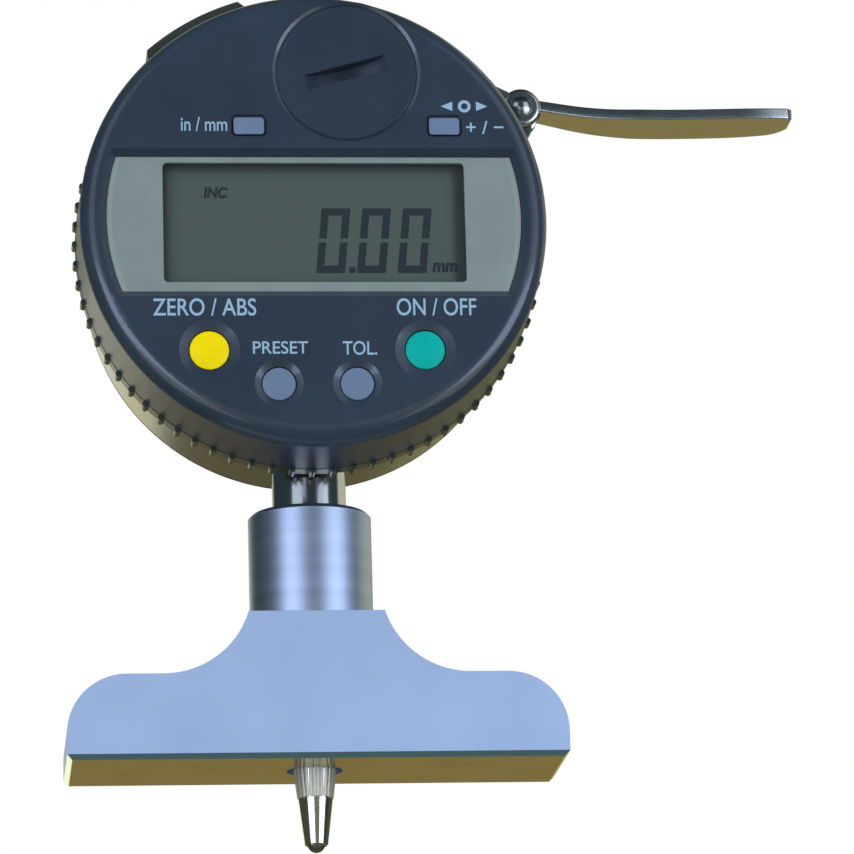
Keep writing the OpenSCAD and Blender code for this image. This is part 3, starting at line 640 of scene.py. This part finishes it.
def evaluated_mesh(thing):
    """A plain mesh of a thing with its modifiers applied."""
    graph = bpy.context.evaluated_depsgraph_get()
    return bpy.data.meshes.new_from_object(thing.evaluated_get(graph))


def skin(b, rows):
    """Faces between neighbouring rows of points, each row closed on itself."""
    for row, after in zip(rows, rows[1:]):
        for i in range(len(row)):
            j = (i + 1) % len(row)
            b.faces.new((row[i], row[j], after[j], after[i]))


def loft(b, rings):
    """Skins rings of equally many points in order and closes both ends."""
    rows = [[b.verts.new(point) for point in ring] for ring in rings]
    skin(b, rows)
    b.faces.new(rows[0][::-1])
    b.faces.new(rows[-1])


def lathe(b, outline, middle=PIVOT, steps=96):
    """Turns a closed outline of (radius, y) round a line along Y through middle."""
    rows = []
    for i in range(steps):
        a = 2 * math.pi * i / steps
        rows.append([
            b.verts.new((middle.x + r * math.cos(a), y, middle.z + r * math.sin(a)))
            for r, y in outline
        ])
    skin(b, rows + rows[:1])


def plate(b, points, back, front):
    """A flat plate with that outline of (x, z), between two depths along y."""
    loft(b, [[(x, y, z) for x, z in points] for y in (back, front)])


class GAUGE_OT_finish(bpy.types.Operator):
    """Give every CAD part the finish of its material slot"""

    bl_idname = "gauge.finish"
    bl_label = "Finish the parts"

    def execute(self, context):
        made = finishes(context.scene.gauge_colours)
        for name, node in NODES.items():
            node.data.materials.clear()
            node.data.materials.append(made[OWN_FINISH.get(name, SLOTS[name])])
        return {"FINISHED"}


# ---------- display and print ----------

GLASS_Y = GLASS_LOW.y
MARK_DEPTH, INK_DEPTH = 0.02 * MM, 0.01 * MM
DIGITS = 3
# Lower left corner of the first digit from the head's centre, and of the point from the digit
FIRST_DIGIT = Vector((0.15, -6.9)) * MM
POINT_X, POINT_SIZE = 4.2 * MM, 0.8 * MM
# Gaps between a digit's bars: at its corners, and half the one at its waist
CORNER_GAP, WAIST_GAP = 0.015 * MM, 0.26 * MM
# Half the thickness of a word before it is scaled, and how much its strokes are thickened
WORD_HALF, MARK_WEIGHT, INK_WEIGHT = 0.1, 0.045, 0.008
MARK_SLANT = 0.15

# Each word: left, right, bottom and top from the head's centre, in millimetres
MARKS = {"mm": (15.0, 18.3, -6.8, -5.5), "INC": (-14.0, -10.9, 3.0, 4.5)}
WORDS = {
    "in / mm": (-16.86, -10.97, 11.15, 13.03),
    "+ / \u2212": (19.6, 24.4, 10.84, 12.6),
    "ZERO / ABS": (-20.75, -7.72, -13.25, -10.98),
    "ON / OFF": (10.09, 20.21, -13.25, -10.98),
    "PRESET": (-8.23, -1.26, -18.25, -16.6),
    "TOL.": (3.13, 7.47, -18.4, -16.6),
}
# The two arrows over the direction button, tip and back along x, and the ring between them
SIGNS_HEIGHT, ARROW_HALF = 14.55 * MM, 0.62 * MM
ARROWS = ((16.4 * MM, 17.9 * MM), (22.4 * MM, 20.95 * MM))
RING_X, RING_OUTER, RING_INNER = 19.44 * MM, 0.82 * MM, 0.42 * MM


def digit_bars(width, height, bar):
    """The six lit bars of a zero, each an outline of (x, z) from its lower left corner."""
    gap, waist = CORNER_GAP, height / 2 + WAIST_GAP
    top = [(gap, height), (width - gap, height),
           (width - bar - gap, height - bar), (bar + gap, height - bar)]
    side = [(0, height - gap), (bar, height - bar - gap), (bar, waist), (0, waist)]
    bars = [top, side, [(width - x, z) for x, z in side]]
    return bars + [[(x, height - z) for x, z in outline] for outline in bars]


def word_mesh(word, bounds, y_at, depth, weight, slant=0.0):
    """A word as a thin raised mesh that fills its bounds, which are as in WORDS."""
    curve = bpy.data.curves.new("word", "FONT")
    curve.body, curve.extrude, curve.shear, curve.offset = word, WORD_HALF, slant, weight
    thing = bpy.data.objects.new("word", curve)
    bpy.context.scene.collection.objects.link(thing)
    mesh = evaluated_mesh(thing)
    bpy.data.objects.remove(thing)
    xs, ys = [v.co.x for v in mesh.vertices], [v.co.y for v in mesh.vertices]
    left, right, bottom, top = (value * MM for value in bounds)
    wide = (right - left) / (max(xs) - min(xs))
    tall = (top - bottom) / (max(ys) - min(ys))
    for v in mesh.vertices:
        v.co = (
            left + (v.co.x - min(xs)) * wide,
            y_at - (v.co.z + WORD_HALF) / (2 * WORD_HALF) * depth,
            HEAD.z + bottom + (v.co.y - min(ys)) * tall,
        )
    return mesh


class GAUGE_OT_digits(bpy.types.Operator):
    """Make the lit marks of the display: three slanted zeros, the point, the unit and the mode"""

    bl_idname = "gauge.digits"
    bl_label = "Display digits"

    def execute(self, context):
        sizes = context.scene.gauge_sizes
        b = bmesh.new()
        slant = math.tan(sizes.digit_slant)
        left, right = POINT_X, POINT_X + POINT_SIZE
        outlines = [[(left, 0), (right, 0), (right, POINT_SIZE), (left, POINT_SIZE)]]
        for i in range(DIGITS):
            outlines += [
                [(x + i * sizes.digit_pitch, z) for x, z in outline]
                for outline in digit_bars(sizes.digit_width, sizes.digit_height, sizes.bar_width)
            ]
        for outline in outlines:
            leaning = [
                (FIRST_DIGIT.x + x + z * slant, HEAD.z + FIRST_DIGIT.y + z) for x, z in outline
            ]
            plate(b, leaning, GLASS_Y, GLASS_Y - MARK_DEPTH)
        for word, bounds in MARKS.items():
            b.from_mesh(word_mesh(word, bounds, GLASS_Y, MARK_DEPTH, MARK_WEIGHT, MARK_SLANT))
        material = lit_segments(context.scene.gauge_colours)
        marks = add_mesh("display_marks", mesh_from(b, "display_marks"), material)
        mount(marks, "display")
        return {"FINISHED"}


class GAUGE_OT_print(bpy.types.Operator):
    """Print the words and signs beside the buttons"""

    bl_idname = "gauge.print"
    bl_label = "Printed words"

    def execute(self, context):
        b = bmesh.new()
        for word, bounds in WORDS.items():
            b.from_mesh(word_mesh(word, bounds, FACE_Y, INK_DEPTH, INK_WEIGHT))
        top, height = FACE_Y - INK_DEPTH, HEAD.z + SIGNS_HEIGHT
        for tip, back in ARROWS:
            arrow = [(tip, height), (back, height - ARROW_HALF), (back, height + ARROW_HALF)]
            plate(b, arrow, FACE_Y, top)
        ring = [(RING_INNER, FACE_Y), (RING_INNER, top), (RING_OUTER, top), (RING_OUTER, FACE_Y)]
        lathe(b, ring, Vector((RING_X, 0, height)), 48)
        material = printed_ink("printed_ink", tuple(context.scene.gauge_colours.print_ink))
        mount(add_mesh("face_print", mesh_from(b, "face_print"), material), "display")
        return {"FINISHED"}


# ---------- lifting lever ----------

# The blade's top seen from the side, x in millimetres from the pivot, as in the part's source
BLADE_START, BLADE_RISE, BLADE_FALL, BLADE_POWER = 1.5, 2.66, 8.42, 1.55
BLADE_SLOPE, BLADE_DROP = 0.0264, 1.42
BLADE_MIDDLE = (LEVER_LOW.y + LEVER_HIGH.y) / 2
# Its sides at the pivot, and how far from the pivot it is as wide as the solid
NECK_FRONT, NECK_BACK = BLADE_MIDDLE - 2 * MM, BLADE_MIDDLE + 2.8 * MM
FULL_WIDTH_AT = 15.5 * MM
# Each side of the tip: radius of its corner, how far it is drawn in, and from how far back
FRONT_TIP, BACK_TIP = (0.8 * MM, 0.6 * MM, 7 * MM), (3 * MM, 1.5 * MM, 10 * MM)
TIP_SHORT = 0.3 * MM
# Cross-sections along the blade, round its tip's corners and over its end
ALONG_STEPS, TIP_STEPS, END_STEPS, ALONG_POWER = 40, 16, 4, 1.4
# A section's least rounding, how far the last one closes, and the flat beside each corner
LEAST_EDGE, LAST_INSET, FLAT_SHARE = 0.02 * MM, 0.98, 0.25
# The curls either side of the bracket's tongue, which fills TONGUE along y
BORE, CURL_GAP, CURL_CHAMFER, CUTTER_BORE = 0.77 * MM, 0.15 * MM, 0.08 * MM, 0.01 * MM
TONGUE = (-2.2 * MM, 0.2 * MM)
FRONT_CURL_END, REAR_CURL_END, REAR_CURL_EDGE = -3.6 * MM, 2.0 * MM, 0.25 * MM


def blade_top(x):
    """Height of the blade's top above the pivot, at a distance from it, both in metres."""
    x = x / MM
    bend = math.exp(-((x / BLADE_FALL) ** BLADE_POWER))
    return (BLADE_RISE * bend + BLADE_SLOPE * x - BLADE_DROP) * MM


def blade_ring(x, front, back, thickness, edge, inset):
    """One cross-section of the blade: a rectangle with round corners, drawn in by inset."""
    top, bottom = blade_top(x) - inset, blade_top(x) - thickness + inset
    front, back, edge = front + inset, back - inset, max(edge - inset, LEAST_EDGE)
    corners = ((back - edge, top - edge, 0), (front + edge, top - edge, 90),
               (front + edge, bottom + edge, 180), (back - edge, bottom + edge, 270))
    ring = []
    for corner, (y_at, z_at, start) in enumerate(corners):
        row = [
            (y_at + edge * math.cos(a), z_at + edge * math.sin(a))
            for a in (math.radians(start + 22.5 * step) for step in range(5))
        ]
        # A second point beside each corner keeps the broad faces flat in the light
        towards_middle = FLAT_SHARE * edge * (1 if start in (90, 180) else -1)
        if corner % 2:
            row.insert(0, (row[0][0] + towards_middle, row[0][1]))
        else:
            row.append((row[-1][0] + towards_middle, row[-1][1]))
        ring += [Vector((PIVOT.x + x, y, PIVOT.z + height)) for y, height in row]
    return ring


def drawn_in(left, corner, taper, start):
    """How far a side of the blade is drawn in at that distance from its tip."""
    inwards = taper * max(0, 1 - left / start) ** 2
    if left < corner:
        inwards += corner - math.sqrt(corner ** 2 - (corner - left) ** 2)
    return inwards


def blade_sides(x, reach):
    """The blade's front and back, along y, at that distance from the pivot."""
    grown = min(1, x / FULL_WIDTH_AT)
    front = NECK_FRONT + (LEVER_LOW.y - NECK_FRONT) * grown
    back = NECK_BACK + (LEVER_HIGH.y - NECK_BACK) * grown
    return front + drawn_in(reach - x, *FRONT_TIP), back - drawn_in(reach - x, *BACK_TIP)


def quarter(step, steps):
    """The angle after that many steps of a quarter turn."""
    return math.radians(90 * step / steps)


def make_blade(sizes):
    """The blade as one closed piece, from inside the curls to its rounded tip."""
    reach = LEVER_HIGH.x - PIVOT.x - TIP_SHORT
    edge, thickness = sizes.blade_edge, sizes.blade_thickness
    start, corner = BLADE_START * MM, BACK_TIP[0]
    places = [
        start + (reach - corner - start) * (i / ALONG_STEPS) ** ALONG_POWER
        for i in range(ALONG_STEPS + 1)
    ]
    places += [
        reach - corner + (corner - edge) * math.sin(quarter(i, TIP_STEPS))
        for i in range(1, TIP_STEPS + 1)
    ]
    rings = [blade_ring(x, *blade_sides(x, reach), thickness, edge, 0) for x in places]
    sides = blade_sides(reach - edge, reach)
    for i in range(1, END_STEPS + 1):
        a = quarter(i, END_STEPS)
        inset = edge * (1 - math.cos(a)) * LAST_INSET
        rings.append(blade_ring(reach - edge * (1 - math.sin(a)), *sides, thickness, edge, inset))
    b = bmesh.new()
    loft(b, rings)
    return add_mesh("blade", mesh_from(b, "blade", 60))


def curl_outline(back, front, edge, steps=8):
    """A curl's section of (radius, y): bore, back, outside, and a round edge to its front."""
    outline = [(BORE, back), (HUB_RADIUS - CURL_CHAMFER, back), (HUB_RADIUS, back - CURL_CHAMFER)]
    for step in range(steps + 1):
        a = quarter(step, steps)
        outline.append((
            HUB_RADIUS - edge * (1 - math.cos(a)), front + edge * (1 - math.sin(a))
        ))
    return outline + [(BORE, front)]


class GAUGE_OT_lever(bpy.types.Operator):
    """Make the lifting lever: a smooth blade that grows out of two curls round its pin"""

    bl_idname = "gauge.lever"
    bl_label = "Lifting lever"

    def execute(self, context):
        sizes = context.scene.gauge_sizes
        blade = make_blade(sizes)
        front, back = TONGUE
        clear = HUB_RADIUS + CURL_GAP
        b = bmesh.new()
        lathe(b, [(CUTTER_BORE, front), (clear, front), (clear, back), (CUTTER_BORE, back)])
        cutter = add_mesh("cutter", mesh_from(b, "cutter"))
        cut = blade.modifiers.new("tongue", "BOOLEAN")
        cut.object, cut.operation, cut.solver = cutter, "DIFFERENCE", "EXACT"
        b = bmesh.new()
        b.from_mesh(evaluated_mesh(blade))
        lathe(b, curl_outline(front, FRONT_CURL_END, sizes.hub_edge))
        # The rear curl is made in front of the tongue and mirrored about the tongue's middle
        rear = curl_outline(front, front + back - REAR_CURL_END, REAR_CURL_EDGE)
        lathe(b, [(r, front + back - y) for r, y in rear])
        for spare in (blade, cutter):
            bpy.data.objects.remove(spare)
        lever = add_mesh("lever", mesh_from(b, "lever", 50), bpy.data.materials["satin_steel"])
        mount(lever, "lever")
        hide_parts("lift_lever")
        return {"FINISHED"}


# ---------- flutes of the contact point ----------

# Height and radius of the contact point's cone, in millimetres, from the flutes' foot upwards
CONE = (
    (-3.7, 2.237), (-3.6, 2.25), (-3.4, 2.274), (-2.4, 2.397),
    (-1.4, 2.52), (0.5, 2.69), (1.4, 2.7),
)
# A flute's share of its full size at its foot, and how much more at each height above
FLUTE_FOOT, FLUTE_GROWTH = 0.3, 0.35


def flute_tree(material):
    """Nodes that set one flute round the measuring axis as often as asked."""
    tree = bpy.data.node_groups.new("flutes", "GeometryNodeTree")
    tree.interface.new_socket("Geometry", in_out="INPUT", socket_type="NodeSocketGeometry")
    count = tree.interface.new_socket("Count", in_out="INPUT", socket_type="NodeSocketInt")
    tree.interface.new_socket("Geometry", in_out="OUTPUT", socket_type="NodeSocketGeometry")
    made = {}
    for key, kind in (
        ("input", "NodeGroupInput"), ("points", "GeometryNodePoints"),
        ("index", "GeometryNodeInputIndex"), ("share", "ShaderNodeMath"),
        ("angle", "ShaderNodeMath"), ("turn", "ShaderNodeCombineXYZ"),
        ("place", "GeometryNodeInstanceOnPoints"), ("real", "GeometryNodeRealizeInstances"),
        ("finish", "GeometryNodeSetMaterial"), ("output", "NodeGroupOutput"),
    ):
        made[key] = tree.nodes.new(kind)
    made["share"].operation, made["angle"].operation = "DIVIDE", "MULTIPLY"
    made["angle"].inputs[1].default_value = 2 * math.pi
    made["finish"].inputs["Material"].default_value = material
    for source, out, target, into in (
        ("input", "Count", "points", "Count"), ("index", "Index", "share", 0),
        ("input", "Count", "share", 1), ("share", "Value", "angle", 0),
        ("angle", "Value", "turn", "Z"), ("points", 0, "place", "Points"),
        ("input", "Geometry", "place", "Instance"), ("turn", "Vector", "place", "Rotation"),
        ("place", "Instances", "real", "Geometry"), ("real", "Geometry", "finish", "Geometry"),
        ("finish", "Geometry", "output", "Geometry"),
    ):
        tree.links.new(made[source].outputs[out], made[target].inputs[into])
    return tree, count.identifier


class GAUGE_OT_flutes(bpy.types.Operator):
    """Set the fine upright flutes round the top of the contact point"""

    bl_idname = "gauge.flutes"
    bl_label = "Contact flutes"

    def execute(self, context):
        sizes = context.scene.gauge_sizes
        rings = []
        for i, (z, radius) in enumerate(CONE):
            swell = min(1, FLUTE_FOOT + FLUTE_GROWTH * i)
            crest, half = sizes.flute_height * swell, sizes.flute_width / 2 * swell
            root = radius * MM - half
            rings.append([
                (half * math.cos(a), -(root + (half + crest) * math.sin(a)), z * MM)
                for a in (quarter(step, 4) for step in range(9))
            ])
        b = bmesh.new()
        loft(b, rings)
        flute = add_mesh("flute", mesh_from(b, "flute", 60))
        tree, count = flute_tree(bpy.data.materials["flute_steel"])
        turned = flute.modifiers.new("flutes", "NODES")
        turned.node_group = tree
        turned[count] = sizes.flute_count
        mesh = evaluated_mesh(flute)
        bpy.data.objects.remove(flute)
        flutes = add_mesh("contact_flutes", mesh)
        mount(flutes, "spindle")
        return {"FINISHED"}


# ---------- studio ----------

CAMERA_AZIMUTH, CAMERA_ELEVATION, CAMERA_ROLL = -5.675, -14.467, -1.589
CAMERA_TARGET = Vector((15.6, 0, 45.317)) * MM
CAMERA_DISTANCE = 675.4 * MM
CAMERA_LENS, CAMERA_SENSOR = 218.97, 36
LAMP_AZIMUTHS, LAMP_ELEVATION = {"left": -42, "right": 44}, 14
CARD_DISTANCE, CARD_ROWS, CARD_COLUMNS = 1.6, 12, 16


def towards(azimuth, elevation):
    """The direction from the gauge to a place at that azimuth and elevation, in degrees."""
    a, e = math.radians(azimuth), math.radians(elevation)
    return Vector((math.sin(a) * math.cos(e), -math.cos(a) * math.cos(e), math.sin(e)))


def make_camera():
    """The camera at the photograph's place, a little rolled."""
    data = bpy.data.cameras.new("camera")
    data.lens, data.sensor_width = CAMERA_LENS, CAMERA_SENSOR
    camera = bpy.data.objects.new("camera", data)
    back = towards(CAMERA_AZIMUTH, CAMERA_ELEVATION)
    level = (-back).cross(Vector((0, 0, 1))).normalized()
    upright = level.cross(-back)
    roll = math.radians(CAMERA_ROLL)
    across = level * math.cos(roll) + upright * math.sin(roll)
    up = upright * math.cos(roll) - level * math.sin(roll)
    turn = Matrix((across, up, back)).transposed().to_4x4()
    camera.matrix_world = Matrix.Translation(CAMERA_TARGET + back * CAMERA_DISTANCE) @ turn
    bpy.context.scene.collection.objects.link(camera)
    bpy.context.scene.camera = camera


def make_floor(stage):
    """A pale floor that mirrors and matt surfaces don't see."""
    f = Finish("floor")
    mottle = f.noise(0.15, 3, 0.5)
    pale = f.tint(mottle, linear(236, 234, 226), linear(242, 240, 234))
    f.surface(Base_Color=pale, Roughness=0.8)
    b = bmesh.new()
    bmesh.ops.create_circle(b, cap_ends=True, radius=stage.floor_radius, segments=96)
    bmesh.ops.translate(b, verts=b.verts, vec=(0, 0, -stage.floor_drop))
    floor = add_mesh("floor", plain_mesh(b, "floor"), f.material)
    floor.visible_diffuse = floor.visible_glossy = False


def make_world(stage):
    """White to the camera, in mirrors and through glass, and a soft fill on matt surfaces."""
    world = bpy.data.worlds.new("world")
    world.use_nodes = True
    tree = world.node_tree
    tree.nodes.clear()
    rays = tree.nodes.new("ShaderNodeLightPath").outputs
    seen = rays["Is Camera Ray"]
    for ray in ("Is Glossy Ray", "Is Transmission Ray"):
        either = tree.nodes.new("ShaderNodeMath")
        either.operation = "MAXIMUM"
        tree.links.new(seen, either.inputs[0])
        tree.links.new(rays[ray], either.inputs[1])
        seen = either.outputs[0]
    level = tree.nodes.new("ShaderNodeMapRange")
    level.inputs["To Min"].default_value = stage.fill_level
    level.inputs["To Max"].default_value = 1.0
    tree.links.new(seen, level.inputs["Value"])
    background = tree.nodes.new("ShaderNodeBackground")
    background.inputs["Color"].default_value = (1, 1, 1, 1)
    tree.links.new(level.outputs[0], background.inputs["Strength"])
    output = tree.nodes.new("ShaderNodeOutputWorld")
    tree.links.new(background.outputs[0], output.inputs["Surface"])
    bpy.context.scene.world = world


def aim(lamp, azimuth, elevation, distance):
    """Puts a lamp at that place, looking at the gauge."""
    direction = towards(azimuth, elevation)
    lamp.location = CAMERA_TARGET + direction * distance
    lamp.rotation_mode = "QUATERNION"
    lamp.rotation_quaternion = direction.to_track_quat("Z", "Y")


def make_lamps(stage):
    """Two tall soft boxes, left and right of the camera. Mirrors see the cards in their place."""
    for name, azimuth in LAMP_AZIMUTHS.items():
        data = bpy.data.lights.new("softbox_" + name, "AREA")
        data.shape = "RECTANGLE"
        data.size, data.size_y = stage.lamp_width, stage.lamp_height
        data.energy = stage.lamp_level * math.pi * data.size * data.size_y
        lamp = bpy.data.objects.new("softbox_" + name, data)
        aim(lamp, azimuth, LAMP_ELEVATION, stage.lamp_distance)
        lamp.visible_camera = lamp.visible_glossy = False
        bpy.context.scene.collection.objects.link(lamp)


def spread(limits, steps):
    """Evenly spaced values from the first limit to the second, in that many steps."""
    first, last = limits
    return [first + (last - first) * i / steps for i in range(steps + 1)]


def make_card(name, azimuths, elevations, low, high=None, distance=CARD_DISTANCE):
    """A curved card between those azimuths and elevations that only mirrors see, as a studio's
    flags and lamps are kept out of the picture. Its tone runs from low at its foot to high."""
    f = Finish(name)
    reach = [distance * math.sin(math.radians(e)) + CAMERA_TARGET.z for e in elevations]
    level = f.along(2).between(*reach)
    strength = max(1.0, *low, *(high or low))
    low, high = (tuple(c / strength for c in rgb) for rgb in (low, high or low))
    glow = f.node("Emission", inputs={"Color": f.tint(level, low, high), "Strength": strength})
    f.node("OutputMaterial", inputs=[glow])
    b = bmesh.new()
    rows = []
    for e in spread(elevations, CARD_ROWS):
        rows.append([
            b.verts.new(CAMERA_TARGET + towards(a, e) * distance)
            for a in spread(azimuths, CARD_COLUMNS)
        ])
    for row, above in zip(rows, rows[1:]):
        for j in range(CARD_COLUMNS):
            b.faces.new((row[j], row[j + 1], above[j + 1], above[j]))
    card = add_mesh(name, plain_mesh(b, name), f.material)
    card.visible_camera = card.visible_diffuse = card.visible_shadow = False
    card.visible_transmission = False


def make_cards():
    """What the gauge's mirrors show: two lamps, flags round them, and a warm table behind."""
    slate, dusk = linear(50, 62, 68), linear(38, 46, 50)
    moss, haze = linear(78, 84, 72), linear(158, 162, 152)
    olive, straw = linear(144, 131, 86), linear(198, 201, 182)
    cool, glare = (0.92, 1.06, 1.25), (2.8, 3.3, 4.6)
    make_card("glow_left", (-58, -25), (6, 44), shade(cool, 0.66))
    make_card("glow_left_low", (-56, -25), (-14, 6), glare)
    make_card("glow_left_inner", (-25, -15), (-14, 1), glare)
    make_card("glow_right", (22, 42), (6, 44), shade(cool, 0.6))
    make_card("glow_right_far", (42, 58), (6, 44), shade(cool, 0.8))
    make_card("glow_right_low", (25, 64), (-14, 6), glare)
    make_card("gap_front", (-16, 26), (-22, 4), dusk, haze, distance=1.65)
    make_card("flag_front", (-68, 96), (-62, 62), slate, distance=1.7)
    make_card("moss_left", (-150, -56), (-44, 8), moss, distance=1.75)
    make_card("moss_right", (60, 150), (-44, 6), moss, distance=1.75)
    make_card("flag_left", (-150, -56), (-62, 62), slate, distance=1.8)
    make_card("flag_right", (60, 100), (-62, 62), linear(84, 94, 90), distance=1.8)
    make_card("flag_above", (-180, 180), (52, 89), dusk, distance=1.9)
    make_card("slate_below", (-90, 110), (-89, -44), linear(84, 100, 110), distance=1.65)
    make_card("lamp_behind", (189, 200), (-3, 4), (1.3, 1.22, 0.76), distance=1.7)
    make_card("wall_left_low", (186, 214), (-4, 12), (1.2, 1.22, 0.94), distance=1.75)
    make_card("glow_left_foot", (-56, -15), (-36, -14), shade(straw, 1.7))
    make_card("glow_right_foot", (25, 64), (-36, -14), shade(straw, 1.7))
    make_card("table_behind", (100, 250), (-89, -5), olive, distance=1.9)
    make_card("wall_left", (180, 212), (-6, 52), linear(186, 190, 160), distance=1.85)
    make_card("wall_right", (148, 182), (-6, 52), linear(164, 162, 108), distance=1.88)
    make_card("wall_right_near", (98, 150), (-6, 52), straw, distance=1.87)


class GAUGE_OT_stage(bpy.types.Operator):
    """Set the floor, the lamps and the camera"""

    bl_idname = "gauge.stage"
    bl_label = "Set the studio"

    def execute(self, context):
        stage = context.scene.gauge_stage
        make_floor(stage)
        make_world(stage)
        make_lamps(stage)
        make_cards()
        make_camera()
        context.scene.view_settings.view_transform = "Standard"
        return {"FINISHED"}


# ---------- panel and registration ----------


class GAUGE_PT_pieces(bpy.types.Panel):
    """Sidebar list of the gauge's steps"""

    bl_idname = "GAUGE_PT_pieces"
    bl_label = "Depth gauge"
    bl_space_type = "VIEW_3D"
    bl_region_type = "UI"
    bl_category = "Gauge"

    def draw(self, context):
        for operator in OPERATORS:
            self.layout.operator(operator.bl_idname)
        scene = context.scene
        for group in (scene.gauge_colours, scene.gauge_sizes, scene.gauge_stage):
            box = self.layout.box()
            for key in group.__annotations__:
                box.prop(group, key)


OPERATORS = (
    GAUGE_OT_finish,
    GAUGE_OT_digits,
    GAUGE_OT_print,
    GAUGE_OT_lever,
    GAUGE_OT_flutes,
    GAUGE_OT_stage,
)
CLASSES = (GaugeColours, GaugeSizes, GaugeStage, *OPERATORS, GAUGE_PT_pieces)


def register():
    for cls in CLASSES:
        bpy.utils.register_class(cls)
    bpy.types.Scene.gauge_colours = PointerProperty(type=GaugeColours)
    bpy.types.Scene.gauge_sizes = PointerProperty(type=GaugeSizes)
    bpy.types.Scene.gauge_stage = PointerProperty(type=GaugeStage)


def unregister():
    del bpy.types.Scene.gauge_colours
    del bpy.types.Scene.gauge_sizes
    del bpy.types.Scene.gauge_stage
    for cls in reversed(CLASSES):
        bpy.utils.unregister_class(cls)


def main():
    register()
    bpy.ops.gauge.finish()
    bpy.ops.gauge.digits()
    bpy.ops.gauge.print()
    bpy.ops.gauge.lever()
    bpy.ops.gauge.flutes()
    bpy.ops.gauge.stage()


if __name__ == "__main__":
    main()
